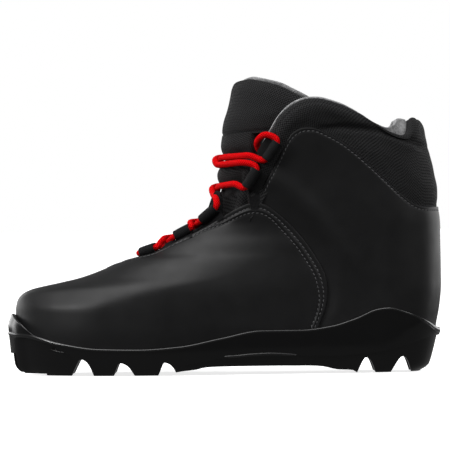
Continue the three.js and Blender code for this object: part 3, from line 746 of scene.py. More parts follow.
def crossing(level, side, strand):
    """From the rear of a loop on one side, up across the tongue to the front of the next loop."""
    c = CROSSINGS[level]
    start, end = loop_path(side, level)[1], loop_path(-side, level + 1)[0]
    middle = over_tongue(0, c["z"], c["lift"] + strand * CROSSING)
    if c["shoulder"]:
        first = over_tongue(side * c["shoulder"], c["z"] - 4, c["lift"] + 0.8 + strand * 1.5)
        last = over_tongue(-side * c["shoulder"], c["z"] + 1.8, c["lift"] + 1.2 + strand * 1.2)
    else:
        first, last = mix(start, middle, 0.7), mix(end, middle, 0.7)
    return ([beside(x, z, side, inset)[0] for x, z, inset in c["leave"]] + [first, middle, last]
            + [beside(x, z, -side, inset)[0] for x, z, inset in c["arrive"]])


def lacing():
    """From the fifth lateral loop down to the first, across, and up to the fifth medial loop."""
    points = []
    for level in (4, 3, 2, 1, 0):
        side = -1 if level % 2 == 0 else 1
        points += loop_path(side, level)[::-1]
        if level:
            points += crossing(level - 1, -side, level % 2)[::-1]
    for level in range(5):
        side = 1 if level % 2 == 0 else -1
        points += loop_path(side, level)
        if level < 4:
            points += crossing(level, side, level % 2)
    return points


TAIL_START = [
    (33.6, 162.2, -2.8), (29, 163.4, -2.4), (24.6, 160.6, 2), (21, 157, 6.4), (22, 151.6, 12.6),
    (27.5, 145, 12.8)]
TAIL_DOWN = [(36, 129), (40.5, 110), (42, 90), (41, 71), (37, 54), (28, 40)]
TAIL_ALONG = [12, -6, -26, -47, -69]


def tail(side):
    """Inside the boot: over the collar's front edge, down the felt and along the footbed to the tip."""
    points = [beside(x, z, side, inset)[0] for x, z, inset in TAIL_START]
    for x, z in TAIL_DOWN + [(x, floor_at(x) + FOOTBED_TOP + LACE / 2 + 0.5) for x in TAIL_ALONG]:
        points.append(beside(x, z, side, felt_out(z) + FELT + LACE / 2 + 1.5)[0])
    return points


def relaxed(points, spacing, reach):
    """The path with its corners eased over a reach, ends kept."""
    p = np.array(points, float)
    run = arc_lengths(p, 0)
    at = np.linspace(0, run[-1], int(run[-1] / spacing))
    dense = np.stack([np.interp(at, run, p[:, k]) for k in range(3)], axis=1)
    half = int(3 * reach / spacing)
    weights = np.exp(-0.5 * (np.arange(-half, half + 1) * spacing / reach) ** 2)
    weights /= weights.sum()
    padded = np.vstack([2 * dense[0] - dense[half:0:-1], dense, 2 * dense[-1] - dense[-2:-half - 2:-1]])
    return np.stack([np.convolve(padded[:, k], weights, "valid") for k in range(3)], axis=1)


LACE_PATH = relaxed(tail(-1)[::-1] + lacing() + tail(1), 1.0, 2.6)
BRAID_TURN = 7.0  # length of lace in which a strand goes once round
BRAID_STRANDS = 6
LACE_AROUND = 24


def make_lace():
    run = arc_lengths(LACE_PATH, 0)
    angle = np.linspace(0, 2 * math.pi, LACE_AROUND + 1)
    twist = 2 * math.pi * run[:, None] / BRAID_TURN
    braid = np.maximum(np.cos(BRAID_STRANDS * angle + twist), np.cos(BRAID_STRANDS * angle - twist))
    radius = LACE / 2 * (0.965 + 0.045 * braid)
    radius[0] = radius[-1] = 0.0
    points, uv = swept(LACE_PATH, radius, LACE_AROUND)
    lace = laid("lace_braid", points, None, uv, LACE_LOOK, seam=True, smooth=80)
    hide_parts("lace")


make_lace()


# ---------- floor, light and surroundings ----------

def area_light(name, place, target, size, power):
    light = bpy.data.lights.new(name, "AREA")
    light.shape = "RECTANGLE"
    light.size, light.size_y = size
    light.energy = power
    lamp = bpy.data.objects.new(name, light)
    lamp.location = place
    lamp.rotation_euler = (Vector(target) - Vector(place)).to_track_quat("-Z", "Y").to_euler()
    bpy.context.scene.collection.objects.link(lamp)


ROOM_LIGHT = 0.12  # what the white room gives the boot
FLOOR_GLOW = 0.78  # keeps the floor pale in the boot's shadow
TABLE_GLOW = 0.18
TABLE_HALF = (0.45, 0.16, 1)
TABLE_MIDDLE = (0, 0.07, -0.0004)
FLOOR_LEVEL = -0.0005
SUN = 2.1
# Name, place, what it points at, width and height, and power.
LAMPS = [
    ("front_left", (-0.6, -0.8, 0.85), (-0.03, 0, 0.06), (0.8, 0.6), 1.9),
    ("front_fill", (0.35, -1.1, 1.25), (0.05, 0, 0.12), (1.3, 0.9), 4.4),
    ("toe_side", (-0.8, -0.55, 0.5), (-0.1, 0, 0.04), (0.2, 0.2), 4.2),
    ("heel_side", (0.8, -0.5, 0.5), (0.1, 0, 0.08), (0.3, 0.4), 1.6),
    ("toe_strip", (-0.9, 0.4, 0.12), (-0.14, 0, 0.03), (0.25, 0.4), 0.8),
    ("heel_strip", (0.9, 0.3, 0.12), (0.14, 0, 0.05), (0.25, 0.5), 0.8),
    ("behind_toe", (-0.75, 0.75, 0.28), (-0.05, 0, 0.06), (0.9, 0.5), 3.0),
    ("behind_heel", (0.8, 0.7, 0.28), (0.05, 0, 0.06), (0.9, 0.5), 3.0),
]


def make_floor():
    work = bmesh.new()
    bmesh.ops.create_grid(work, x_segments=1, y_segments=1, size=60)
    bmesh.ops.translate(work, verts=work.verts[:], vec=(0, 0, FLOOR_LEVEL))
    look = Look("pale_floor", (0.9, 0.9, 0.9), 0.9, 0.1)
    look.glow(FLOOR_GLOW)
    floor = finished("floor", work, look.material, None)
    floor.visible_diffuse = floor.visible_glossy = False  # no light thrown back up at the boot


def make_table_card():
    """A dim white card just over the floor that shows only in the gloss of undercut faces."""
    work = bmesh.new()
    bmesh.ops.create_grid(work, x_segments=1, y_segments=1, size=1)
    bmesh.ops.scale(work, verts=work.verts[:], vec=TABLE_HALF)
    bmesh.ops.translate(work, verts=work.verts[:], vec=TABLE_MIDDLE)
    card = Look("table_card", (0, 0, 0), 1.0, 0.0)
    card.glow(TABLE_GLOW)
    table = finished("table_card", work, card.material, None)
    table.visible_camera = table.visible_diffuse = table.visible_shadow = False


def make_room():
    """A white world that the camera sees at full strength and that lights the boot only a little."""
    world = bpy.data.worlds.new("white_room")
    world.use_nodes = True
    nodes, links = world.node_tree.nodes, world.node_tree.links
    seen = nodes.new("ShaderNodeLightPath")
    strength = nodes.new("ShaderNodeMapRange")
    strength.inputs["To Min"].default_value = ROOM_LIGHT
    strength.inputs["To Max"].default_value = 1.0
    links.new(seen.outputs["Is Camera Ray"], strength.inputs["Value"])
    links.new(strength.outputs["Result"], nodes["Background"].inputs["Strength"])
    nodes["Background"].inputs["Color"].default_value = (1, 1, 1, 1)
    bpy.context.scene.world = world
    bpy.context.scene.view_settings.view_transform = "Standard"


def make_lights():
    soft_sun = bpy.data.lights.new("ceiling", "SUN")
    soft_sun.energy = SUN
    soft_sun.angle = math.radians(50)
    ceiling = bpy.data.objects.new("ceiling", soft_sun)
    ceiling.rotation_euler = (math.radians(14), math.radians(-16), 0)
    bpy.context.scene.collection.objects.link(ceiling)
    for lamp in LAMPS:
        area_light(*lamp)


make_floor()
make_table_card()
make_room()
make_lights()


# ---------- sole ----------

RIM_OVER = 2.4
sole_front = through(
    (0, -141), (2.4, -144.3), (6.6, -147), (20, -148.3), (34, -149.5), (39, -148.1), (46, -145),
    (50, -143.5))
sole_back = through(
    (0, 134.4), (2.1, 137.9), (4.8, 140.7), (13.8, 143.6), (25.5, 146.6), (32, 149.6), (50, 151))
sole_over = through((0, -2.5), (8, -0.5), (18, 1.4), (28, RIM_OVER), (50, RIM_OVER))
SOLE_LEVELS = [0, 0.5, 1.2, 2.4, 4.4, 6.6, 9.5, 13, 16.5, 20, 24, 28, 31, 34, 36.5, 39, 41.5, 44, 47, 50]
RIM_LINE = [(-170, 46), *RIM, (170, 27)]
# Start and end of each groove, and the place and height of its peak.
TREAD_GROOVES = [
    (-105, -88.6, -97.3, 11.2), (-76, -60.6, -71, 8.6), (-45.7, -31.6, -40.5, 8.6),
    (89.6, 103.2, 96.6, 10.3), (112.6, 127.8, 122, 10.7)]
TOE_RAISE = [(-170, -5), (-170, 1.4), (-122, 1.2), (-121.5, -5)]
WAIST_ARCH = [
    (-37, -3), (-34, 1.6), (-20, 3.5), (-8, 5.2), (38, 5.3), (64, 4.8), (76, 2.4), (88, 1.5), (92, -3)]
# Side faces that stand back from the rim: the outline below the crease, how far they stand back, and where
# along the boot they fade in and out.
SET_BACKS = [
    ([(-160, -1), (-160, 25.2), (-134, 26.1), (-128, 25.3), (-117, 20.7), (-103.5, 13), (-100, 11),
      (-96, -1)],
     2.2, (-146.5, -138, -103, -97)),
    ([(-34, -1), (-31, 3), (-27, 6.7), (-17, 8.6), (4, 12.2), (17, 13.1), (31, 13.6), (51, 12), (56, -1)],
     3.2, (-34, 8, 44, 55)),
    ([(47, -1), (47, 12), (79, 11.7), (107, 14.3), (127.8, 20.2), (141, 24), (160, 26), (160, -1)],
     1.8, (50, 62, 130, 146)),
]
# The space for the ski binding's hook, then the two guide channels: start, end, top and half width.
CHANNELS = [(-170, -124, 15, 11), (-125, -12, 9, 10), (84, 132, 8, 10)]
CREASE_ANGLE = 32
HALF_LENGTH = 149.5
FAR = 170  # past the boot's ends
BELOW = -5


def along_sole(turn):
    return -HALF_LENGTH + HALF_LENGTH * (1 - np.cos(turn))


def everywhere(x):
    return 1 + 0 * x


def sole_at(depth, fade=everywhere):
    """The sole's side, standing back by a depth that may fade along the boot."""
    def at(turn, z):
        turn, z = np.broadcast_arrays(turn, z)
        shrink = depth * fade(along_sole(turn)) - (0.05 if depth else 0)
        front, back = sole_front(z) + shrink, sole_back(z) - shrink
        x = (front + back) / 2 - (back - front) / 2 * np.cos(turn)
        nose = rounded((x - front) / (toe_round(z) + RIM_OVER))
        tail_end = rounded((back - x) / (heel_round(z) + RIM_OVER))
        half = (foot_half(x) * 0.97 + sole_over(z) - shrink) * nose * tail_end
        return np.stack([x, swing(x) - np.sign(np.sin(turn)) * half, z], axis=-1)
    return at


def smooth_outline(points, count):
    return [tuple(p) for p in smooth_line(points, count)]


def groove(start, end, peak, deep):
    rise = mix(start, peak, 0.66), deep * 0.82
    fall = mix(end, peak, 0.5), deep * 0.72
    return smooth_outline([(start, -1), rise, (peak, deep), fall, (end, -1)], 22)


def fading(a, b, c, d):
    """A share along the boot: it grows from a to b and fades from c to d."""
    def share(x):
        return step(x, a, b) * (1 - step(x, c, d))
    return share


def clear_of_upper(turn, z):
    return upper_at(turn, z) + GAP * outward(turn + 1e-6, z)


def make_sole():
    """A body through its levels, cut to its rim, hollowed for the upper, and cut at its sides and below."""
    sole = lofted(sole_at(0), SOLE_LEVELS)
    rim = smooth_outline(RIM_LINE, 150)
    carved(sole, prism(rim + [(FAR, 90), (-FAR, 90)]))
    upper = lofted(clear_of_upper, np.linspace(9, 60, 24))
    web = [(x, float(floor_at(x))) for x in np.linspace(-168, 168, 80)]
    carved(upper, prism(web + [(168, 100), (-168, 100)]), "INTERSECT")
    carved(sole, upper)
    for outline, depth, ends in SET_BACKS:
        ring = prism(outline)
        carved(ring, lofted(sole_at(depth, fading(*ends)), SOLE_LEVELS))
        carved(sole, ring)
    for cut in [groove(*g) for g in TREAD_GROOVES] + [TOE_RAISE, smooth_outline(WAIST_ARCH, 40)]:
        carved(sole, prism(cut))
    for start, end, top, half in CHANNELS:
        carved(sole, prism([(start, BELOW), (end, BELOW), (end, top), (start, top)], half))
    sole.name = sole.data.name = "moulded_sole"
    sole.data.materials.clear()
    sole.data.materials.append(SOLE)
    sole.data.polygons.foreach_set("material_index", [0] * len(sole.data.polygons))
    sole.data.shade_smooth()
    sole.data.set_sharp_from_angle(angle=math.radians(CREASE_ANGLE))
    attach(sole, "boot")
    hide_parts("outsole")


make_sole()


def make_bead(name, points, outwards, radius):
    """A rounded bead along points on the sole's side."""
    angle = np.linspace(0, 2 * math.pi, 17)[None, :, None]
    up = np.array([0, 0, 1.0])
    ring = np.cos(angle) * outwards[:, None] + np.sin(angle) * up
    grid = points[:, None] + ring * np.broadcast_to(radius, len(points))[:, None, None]
    bead = laid(name, grid, look=EDGE, seam=True, smooth=60)


def side_points(turns, height_of, sunk):
    """Points on the sole's side at height_of(x), moved inwards by sunk, and level normals."""
    x = np.zeros_like(turns)
    for _ in range(12):
        z = height_of(x)
        x = sole_at(0)(turns, z)[..., 0]
    ahead = sole_at(0)(turns + 0.004, z) - sole_at(0)(turns - 0.004, z)
    n = np.stack([ahead[..., 1], -ahead[..., 0], 0 * z], axis=-1)
    n /= np.linalg.norm(n, axis=-1, keepdims=True)
    return sole_at(0)(turns, z) - n * np.broadcast_to(sunk, turns.shape)[:, None], n


# The heights of the beads' middle lines along the boot.
bead_at = through(
    (-151, 29.2), (-143, 28.6), (-134.4, 27.6), (-127.5, 25.9), *RIM_SIDE, (138.3, 34.5), (147, 29),
    (151, 27.8))
ridge_at = through((4, 12.2), (17, 13.2), (31, 13.7), (52, 12.6))
WAIST_RIDGE = (1.58, 1.93)  # from turn to turn, on the lateral side
TOE_LIP = 0.44  # how far round the end the lips go, in radians to each side
HEEL_LIP = 0.5


def make_beads():
    turns = np.linspace(1e-4, 2 * math.pi - 1e-4, 420)  # the rim's own bead, all the way round
    x = along_sole(turns)
    radius = 0.95 + 0.65 * (1 - step(x, -134, -104)) + 1.5 * step(x, 132, 147)
    points, n = side_points(turns, bead_at, radius * 0.72)
    points[:, 2] -= radius * 0.45
    points[-1], n[-1] = points[0], n[0]
    make_bead("sole_rim_edge", points, n, radius)
    toe = np.linspace(-TOE_LIP, TOE_LIP, 90)
    lip = 1.25 * rounded(np.minimum(toe + TOE_LIP, TOE_LIP - toe) / 0.25 + 0.02)
    points, n = side_points(toe + 1e-4, rim_at, lip * 0.8)
    points[:, 2] -= lip * 0.7
    make_bead("sole_toe_lip", points, n, lip)
    heel = np.linspace(math.pi - HEEL_LIP, math.pi + HEEL_LIP, 90)
    lip = 1.9 * rounded(np.minimum(heel - math.pi + HEEL_LIP, math.pi + HEEL_LIP - heel) / 0.3 + 0.02)
    points, n = side_points(heel + 1e-4, bead_at, lip * 0.85)
    points[:, 2] -= lip * 1.3
    make_bead("sole_heel_lip", points, n, lip)
    for side_name, side in SIDES:
        part = np.linspace(*WAIST_RIDGE, 60)
        points, n = side_points(part if side < 0 else 2 * math.pi - part, ridge_at, 0.35)
        radius = rounded(np.linspace(0.02, 9, 60)) * rounded(np.linspace(9, 0.02, 60))
        make_bead(f"sole_waist_ridge_{side_name}", points, n, radius)


make_beads()


# ---------- leather ----------

BELOW_RIM = 5  # how far the leather goes down inside the sole's rim
VAMP_ROWS = (3.4, 6.9)
VAMP_RIDGE = 5.1  # between the two rows
ROWS_LOWER = 4.5  # how much lower the rows run beside the throat's front
QUARTER_ROW = 2.5
QUARTER_SUNK = 0.6  # the leather's back lies this much deeper than its own thickness


def rim_line(xs):
    return [(x, float(rim_at(x)) - BELOW_RIM) for x in xs]


def make_vamp():
    bottom = [(-150, 32)] + rim_line([-141, -132, -122, -108, -90, -70, -45, -20, 5, 30, 48, 60])
    panel = Panel(VAMP_TOP, bottom, 120, 74, round_the="toe")
    lower = ROWS_LOWER * (1 - step(panel.x[:, 0], -36, -4))
    rows_at = [row + lower for row in VAMP_ROWS]
    lift = 0.2 + cut_edge(panel.depth) + stitch_dents(panel.depth, [row[:, None] for row in rows_at])
    lift = lift + 0.35 * bump(panel.depth, VAMP_RIDGE + lower[:, None], 1.3)
    vamp = laid("vamp_leather", panel.raised(lift), panel.raised(-SHELL), panel.uv, LEATHER)
    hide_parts("vamp")
    rows = [panel.row_at(row, lift) for row in rows_at]
    stitches("vamp_stitching", rows, THREAD)


def make_quarter(name, medial):
    top = [(17.5, 108)] + QUARTER_TOP[1:-1] + [(152, 112.8)]
    under_vamp = [
        (15.5, 108), (24, 108), (35.5, 100), (48, 87), (57, 73), (60, 60), (59, 46), (56, 36), (52, 26)]
    bottom = under_vamp + rim_line([60, 78, 96, 112, 128, 142]) + [(153, 23)]
    panel = Panel(top, bottom, 120, 70, medial=medial)
    off = distance_behind(smooth_line(VAMP_TOP, 600), panel.x, panel.z)
    upper_part = step(panel.z, 52, 92)
    valley = -(1.2 + 0.25 * upper_part) * (1 - step(off, 0, 9 + 6 * upper_part))
    valley = valley + (0.3 + 0.9 * upper_part) * bump(off, 18, 6.5) * (off > 0)
    lift = valley + cut_edge(panel.depth) + stitch_dents(panel.depth, (QUARTER_ROW,)) + 0.1
    flesh = panel.raised(-SHELL - QUARTER_SUNK + valley * 0.6)
    quarter = laid(f"{name}_leather", panel.raised(lift), flesh, panel.uv, LEATHER)
    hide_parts(name)
    stitches(f"{name}_stitching", [panel.row_at(QUARTER_ROW, lift)], THREAD)


make_vamp()
for side_name, side in SIDES:
    make_quarter(f"quarter_{side_name}", side > 0)


# ---------- collar and its felt ----------

ROLL = 3.4  # radius of the collar's padded edge
TURNED_IN = (9, 6, 3, 1)  # rows of cloth inside the edge, below the roll's middle
WEAVE_THICK = 1.1
CREASE = [(64, 166), (80, 167), (100, 165.5), (118, 162), (130, 157.5), (140, 153)]


def at_depths(depth, points, wanted):
    """Points of one column at the wanted depths."""
    return np.stack([np.interp(wanted, depth, points[:, k]) for k in range(3)], axis=-1)


def make_collar():
    """One cloth: from inside the mouth, over the padded roll, and down the outside under the quarters."""
    top = COLLAR_TOP[:-1] + [(134, 175.6)]
    under = [
        (17.5, 104), (27, 118), (34, 131), (40, 142), (46, 152), (52, 158), (58, 160.5), (64, 160),
        (76, 154), (87, 146.5), (97, 137.5), (107.5, 127.5), (118, 117.5), (128.5, 109.5), (138, 107.5),
        (152, 107.5)]
    near = np.array([0, 0.5, 1.1, 1.8, 2.6, 3.5, 4.5, 5.7, 7, 8.5, 10, 12])
    panel = Panel(top, under, 130, 40, round_the="heel", near=near)
    crease = distance_to(CREASE, panel.x, panel.z)
    low = distance_to(QUARTER_TOP, panel.x, panel.z)
    above = panel.depth
    over = step(panel.x, 58, 78)
    lift = 1.3 * bump(above, 8, 6) - 3.0 * bump(crease, 0, 2.4) * over - 1.0 * bump(crease, 5, 6) * over
    lift = lift - 1.2 * (1 - step(low, 0, 7)) + 0.8 * bump(low, 14, 6) * step(panel.x, 60, 90)
    lift = lift * step(above, 0, 5)
    face = panel.raised(lift)
    up = panel.face[:, 0] - panel.face[:, 1]
    up /= np.linalg.norm(up, axis=1, keepdims=True)
    n = panel.normal[:, 0]
    lip = np.array([at_depths(panel.depth[i], panel.face[i], ROLL) for i in range(len(n))])
    hub = lip - n * ROLL
    angles = np.linspace(math.pi, 0, 14)
    roll = np.stack([hub + ROLL * (math.cos(a) * n + math.sin(a) * up) for a in angles], axis=1)
    inside = np.stack([hub - ROLL * n - up * down for down in TURNED_IN], axis=1)
    rows = []
    for i in range(len(n)):
        depths = np.linspace(ROLL + 0.6, panel.depth[i, -1], panel.depth.shape[1])
        rows.append(at_depths(panel.depth[i], face[i], depths))
    grid = np.concatenate([inside, roll, np.array(rows)], axis=1)
    run = arc_lengths(panel.face, 0)[:, 0]
    uv = np.stack([run[:, None] + 0 * grid[..., 0], arc_lengths(grid, 1)], axis=-1)
    normals = grid_normals(grid)
    collar = laid("collar_weave", grid, grid - normals * WEAVE_THICK, uv, CLOTH, smooth=60)
    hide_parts("collar", "collar_padding")


def grid_normals(grid):
    """Unit normals of a grid of points, out of the middle of the whole grid."""
    a, b = np.gradient(grid, axis=0), np.gradient(grid, axis=1)
    n = np.cross(a, b)
    n /= np.maximum(np.linalg.norm(n, axis=-1, keepdims=True), 1e-9)
    middle = grid.reshape(-1, 3).mean(axis=0)
    outwards = ((grid - middle) * n).sum() > 0
    return n if outwards else -n


LINING_TOP = [
    (24, 106), (21, 121), (20.5, 131), (21, 140), (22.4, 149.6), (26.1, 157.8), (31.5, 166),
    (37.5, 175.3), (45.7, 182.9), (53.6, 187.1), (61, 188.3), (70, 187.3), (88, 180.5), (102.4, 173.2),
    (110, 169.6), (116, 168.6), (120.5, 172.2), (125, 176.6), (134, 177)]


def make_lining():
    along = (-120, -90, -60, -30, 0, 30, 60, 90, 115, 135)
    bottom = [(-140, 27)] + [(x, float(floor_at(x)) + FOOTBED_TOP - 1.5) for x in along] + [(150, 29)]
    near = np.array([0, 0.4, 0.9, 1.6, 2.6, 4, 6, 9])
    panel = Panel(LINING_TOP, bottom, 120, 60, round_the="heel", near=near)
    base = -felt_out(panel.z) - 0.2
    lip = 0.9 * (1 - step(panel.depth, 0, 3))
    soft = 0.18 * np.sin(panel.uv[..., 0] / 5.3) * np.sin(panel.depth / 6.1)
    outer = panel.raised(base + lip - 0.9 * bump(panel.depth, 0, 0.5))
    inner = panel.raised(base - FELT - 0.2 * soft + 0.8 * bump(panel.depth, 0, 0.6))
    felt = laid("felt_lining", outer, inner, panel.uv, FELT_LOOK, smooth=60)
    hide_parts("lining")


make_collar()
make_lining()


# ---------- facings ----------

throat_half = through((-78, 1.5), (-57, 5.5), (-44, 9.5), (-30, 12.4), (-16, 16), (-2, 20.5), (20, 25))


def height_beside(x, y):
    """The height of the upper's face at x where it is y from the middle."""
    z = np.linspace(60, 125, 400)
    half = half_width(x, z)
    good = half > 0.01
    order = np.argsort(half[good])
    return float(np.interp(y, half[good][order], z[good][order]))


FACING_ROWS = np.array([0, 0.2, 0.5, 0.9, 1.4, 2.0])
FACING_CUT = 0.5


def make_lower_facing(name, medial):
    xs = [-70, -64, -57, -50, -44, -37, -30, -23, -16, -9, -5, -2.5]
    top = [(x, height_beside(x, float(throat_half(x)) + 0.8)) for x in xs]
    top[-1] = (top[-1][0], top[-1][1] - 5)  # its rear corner is rounded
    seam = np.array(VAMP_TOP)
    bottom = [(x - 1.5, float(np.interp(x, seam[:6, 0], seam[:6, 1])) - 5) for x in xs]
    panel = Panel(top, bottom, 60, 26, medial=medial, near=FACING_ROWS)
    between = bump(panel.x, -37, 6.2) + bump(panel.x, -19.5, 6.2) + bump(panel.x, -57, 3.5)
    lift = -2.1 + cut_edge(panel.depth, FACING_CUT) + 2.3 * between * (1 - step(panel.depth, 0, 4.2))
    facing = laid(f"{name}_webbing", panel.raised(lift), panel.raised(lift - 1.2), panel.uv, RIBBED)
    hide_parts(name)


def make_upper_facing(name, medial):
    top = [
        (18.6, 112), (17.4, 121), (17.8, 129), (20.4, 137.5), (24.6, 148.2), (29, 156), (33, 161.6),
        (36, 164.5)]
    bottom = [
        (24, 112), (27.5, 121), (31.5, 130), (36, 138.5), (41, 149), (46.5, 158.5), (50, 161.5),
        (52.5, 162.5)]
    panel = Panel(top, bottom, 60, 26, medial=medial, near=FACING_ROWS)
    lift = 0.55 + cut_edge(panel.depth, FACING_CUT) - 1.7 * step(panel.depth, 5, 11)
    facing = laid(f"{name}_webbing", panel.raised(lift), panel.raised(lift - 0.9), panel.uv, RIBBED)
    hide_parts(name)


for side_name, side in SIDES:
    make_lower_facing(f"facing_lower_{side_name}", side > 0)
    make_upper_facing(f"facing_upper_{side_name}", side > 0)


# ---------- lace loops ----------

BAND = 1.0  # the webbing's thickness
ROUND_LACE = 0.95  # from the lace to the middle of the band
BAND_PAST = 0.5  # how far the band runs past the ends of its seat


def make_loop(side_name, side, number, seat):
    """A webbing band sewn down beside the lace, taken over it and back underneath."""
    a, b, along, up, out = loop_frame(seat, side)
    length = float(np.linalg.norm(b - a))
    mid = LACE / 2 + ROUND_LACE
    angles = np.linspace(math.radians(-62), math.radians(262), 34)
    ring = [(mid * math.cos(t), mid * math.sin(t)) for t in angles]
    profile = [(8.4, -mid - 0.5), (6.6, -mid - 0.1), (4.8, -mid + 0.1), (3.1, -mid + 0.35)] + ring
    profile += [(1.6, -mid - 0.75), (4.8, -mid - 1.0), (8.4, -mid - 1.3)]
    line = smooth_line(profile, 64)
    edge = np.gradient(line, axis=0)
    edge /= np.linalg.norm(edge, axis=1, keepdims=True)
    face = np.stack([edge[:, 1], -edge[:, 0]], axis=1)
    stations = np.linspace(-BAND_PAST, length + BAND_PAST, 22)
    swell = 0.25 * np.sin(np.linspace(0, math.pi, 22)) - 0.3

    def skin(offset):
        grid = []
        for s, w in zip(stations, swell):
            round_off = 0.18 * (max(0, 0.8 - (s + BAND_PAST)) + max(0, 0.8 - (length + BAND_PAST - s))) ** 2
            p = line * (1 + w * 0.12) + face * (offset * (BAND / 2 - round_off))
            grid.append(a + along * s + np.outer(p[:, 0], out) + np.outer(p[:, 1], up))
        return np.array(grid)

    outer = skin(1)
    run = arc_lengths(outer, 1)
    uv = np.stack([np.broadcast_to(stations[:, None], run.shape), run], axis=-1)
    loop = laid(f"webbing_loop_{side_name}_{number}", outer, skin(-1), uv, RIBBED, smooth=60)
    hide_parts(f"lace_loop_{side_name}_{number}")


for side_name, side in SIDES:
    for number, seat in enumerate(LOOP_SEATS, 1):
        make_loop(side_name, side, number, seat)


# ---------- tongue ----------

FOLD = 165
tongue_edge = through(
    (58, -84), (66, -62), (75, -40), (87, -15), (99, 0), (111, 8), (125, 11), (139, 14.5), (144, 16),
    (150, 26), (158, 31), (168, 34))


def behind_lace_end(x, z):
    """How much deeper the tongue's sides lie where the lace's end passes over them."""
    return 6.2 * step(x, 14.5, 22.5) * step(z, 143, 150)


def tongue_grid(z, wider, deeper):
    """Points of the lower tongue at heights z, wider and deeper than its own face by the given amounts."""
    z = np.asarray(z, float)[None, :]
    edge = turn_of(tongue_edge(z) + wider, z)
    turn = np.linspace(-1, 1, 81)[:, None] * edge + 1e-5
    zz = z + 0 * turn
    face = upper_at(turn, zz)
    inset = tongue_out(face[..., 0], zz) + behind_lace_end(face[..., 0], zz) + deeper
    return face - outward(turn, zz) * inset[..., None]


def make_tongue_base():
    z = np.linspace(61, FOLD, 110)
    outer, inner = tongue_grid(z, 0, 0), tongue_grid(z, 0, 1.2)
    uv = np.stack([arc_lengths(outer, 0), arc_lengths(outer, 1)], axis=-1)
    tongue = laid("tongue_cloth", outer, inner, uv, CLOTH)
    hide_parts("tongue_base")
    front, back = tongue_grid(z, 0.8, 1.5), tongue_grid(z, 0.8, 3.3)
    uv = np.stack([arc_lengths(back, 0), arc_lengths(back, 1)], axis=-1)
    felt = laid("tongue_felt", front, back, uv, FELT_LOOK)
    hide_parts("tongue_base_felt")


TONGUE_TOP = [
    (-2.5, 203.2), (5, 203.9), (12.4, 203.6), (26, 200), (40, 195.7), (51.6, 190), (59, 185), (62.5, 180),
    (60.5, 176)]
TONGUE_FOLD = [
    (-12, 164), (0, 164), (10, 164), (20, 164), (28, 164), (36, 164), (44, 167), (52, 170.5), (57, 173.5)]
TONGUE_PAD = 4.6
TONGUE_EDGE_ROUND = 3.4
TONGUE_CLOTH = 1.5  # what the cloth adds to the padding


def make_tongue_top():
    """The padded flap above the fold, and its felt, which shows as a rim past the cloth."""
    near = np.array([0, 0.4, 0.9, 1.5, 2.2, 3.0, 4.0, 5.2, 6.6])
    panel = Panel(TONGUE_TOP, TONGUE_FOLD, 70, 44, round_the="toe", near=near)
    run = arc_lengths(panel.face, 0)[:, 0]
    rear = np.minimum(run, run[-1] - run)[:, None]
    depth = panel.depth
    edge = np.minimum(depth, rear)
    fold = panel.z - FOLD
    puff = 1.5 * step(edge, 0, 9) * step(fold, -1, 14)
    seam_dent = -0.9 * bump(fold, 0, 1.5)
    wave = 0.35 * np.sin(panel.uv[..., 0] / 8.5 + 0.6) * np.sin(depth / 9 + 0.4) * step(edge, 2, 10)
    full = 0.55 + 0.45 * step(panel.z, 166, 187)
    thick = TONGUE_PAD * rounded((edge + 0.15) / TONGUE_EDGE_ROUND) * full
    base = -tongue_out(panel.x, panel.z)
    drop = 2.2 * (1 - rounded(edge / TONGUE_EDGE_ROUND))
    outer = panel.raised(base - drop + puff + seam_dent + wave)
    inner = panel.raised(base - drop - TONGUE_CLOTH - thick)
    top = laid("tongue_top_cloth", outer, inner, panel.uv, CLOTH, body=None)
    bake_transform(top)
    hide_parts("tongue_top", "tongue_top_padding")
    rear_corner = [(52.6, 192.5), (60.8, 187.3), (64.3, 181.5), (62.5, 176.5)]
    higher = [(x, z + 2.6) for x, z in TONGUE_TOP[:5]] + rear_corner
    lower = [(x, z + 1.6) for x, z in TONGUE_FOLD]
    liner = Panel(higher, lower, 70, 40, round_the="toe", near=near)
    base = -tongue_out(liner.x, liner.z) - 5.2 - 1.2 * step(liner.z, 166, 187)
    rim = 1.3 * (1 - rounded(liner.depth / 2.6))
    outer = liner.raised(base - rim * 0.4 + 1.6 * bump(liner.depth, 0, 2.5))
    inner = liner.raised(base - FELT + rim)
    felt = laid("tongue_top_felt_lining", outer, inner, liner.uv, FELT_LOOK, body="tongue_flap")
    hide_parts("tongue_top_felt")


GUSSET_START = -4  # from the tongue's edge, back along the boot
GUSSET_END = 11


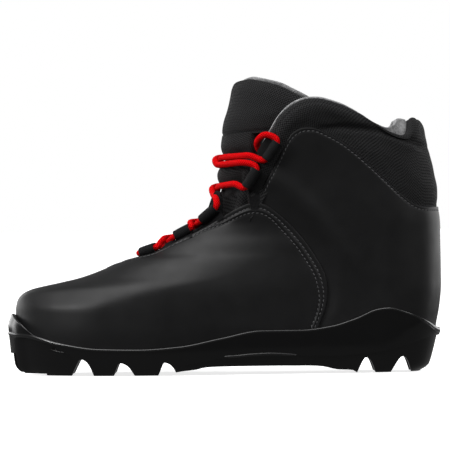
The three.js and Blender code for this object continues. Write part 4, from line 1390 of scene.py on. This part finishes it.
def make_gusset(side_name, side):
    """A folded sheet along the tongue's edge, which reaches from the tongue to the throat."""
    z = np.linspace(70, 139, 70)
    grid = []
    for r in np.linspace(GUSSET_START, GUSSET_END, 26):
        x = tongue_edge(z) + r
        turn = turn_of(x, z) * (1 if side < 0 else -1)
        face = upper_at(turn, z)
        fold = 1.1 * math.sin((r - GUSSET_START) / (GUSSET_END - GUSSET_START) * math.pi * 2.0) + 0.6
        inset = tongue_out(x, z) - fold - GAP
        grid.append(face - outward(turn, z) * inset[:, None])
    outer = np.array(grid)
    normals = grid_normals(outer)
    uv = np.stack([arc_lengths(outer, 0), arc_lengths(outer, 1)], axis=-1)
    gusset = laid(f"gusset_cloth_{side_name}", outer, outer - normals * 0.7, uv, CLOTH)
    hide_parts(f"gusset_{side_name}")


make_tongue_base()
make_tongue_top()
for side_name, side in SIDES:
    make_gusset(side_name, side)


# ---------- footbed ----------

BED_FRONT = -136
BED_LENGTH = 277
BED_BOTTOM = 4.5  # above the sole's web


def make_footbed():
    xs = BED_FRONT + BED_LENGTH * (0.5 - 0.5 * np.cos(np.linspace(0, math.pi, 120)))
    share = np.linspace(-1, 1, 41)
    half = np.array([max(float(half_width(x, floor_at(x) + 7)) - 6.9, 0.3) for x in xs])
    y = swing(xs)[:, None] + half[:, None] * np.sin(share * math.pi / 2)[None, :]
    x = xs[:, None] + 0 * y
    cup = 1.6 * np.abs(share)[None, :] ** 4
    top = np.stack([x, y, floor_at(x) + FOOTBED_TOP + cup - 0.4], axis=-1)
    low = np.stack([x, y, floor_at(x) + BED_BOTTOM + 0 * y], axis=-1)
    bed = laid("felt_footbed", top, low, np.stack([x, y], axis=-1), FELT_LOOK)
    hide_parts("footbed")


make_footbed()


# ---------- finishes of the pieces that come from the frame ----------

FRAME_LOOKS = {
    "toe_bar": STEEL, "shank": STEEL, "insole_board": BOARD, "toe_puff": BOARD, "heel_counter": BOARD,
    "heel_filler": FOAM, "sole_filler": FOAM, "insulation": FOAM, "lace_tip_lateral": TIP_LOOK,
    "lace_tip_medial": TIP_LOOK,
}
for node_name, look in FRAME_LOOKS.items():
    piece = bpy.data.objects[node_name]
    piece.data.materials.clear()
    piece.data.materials.append(look)
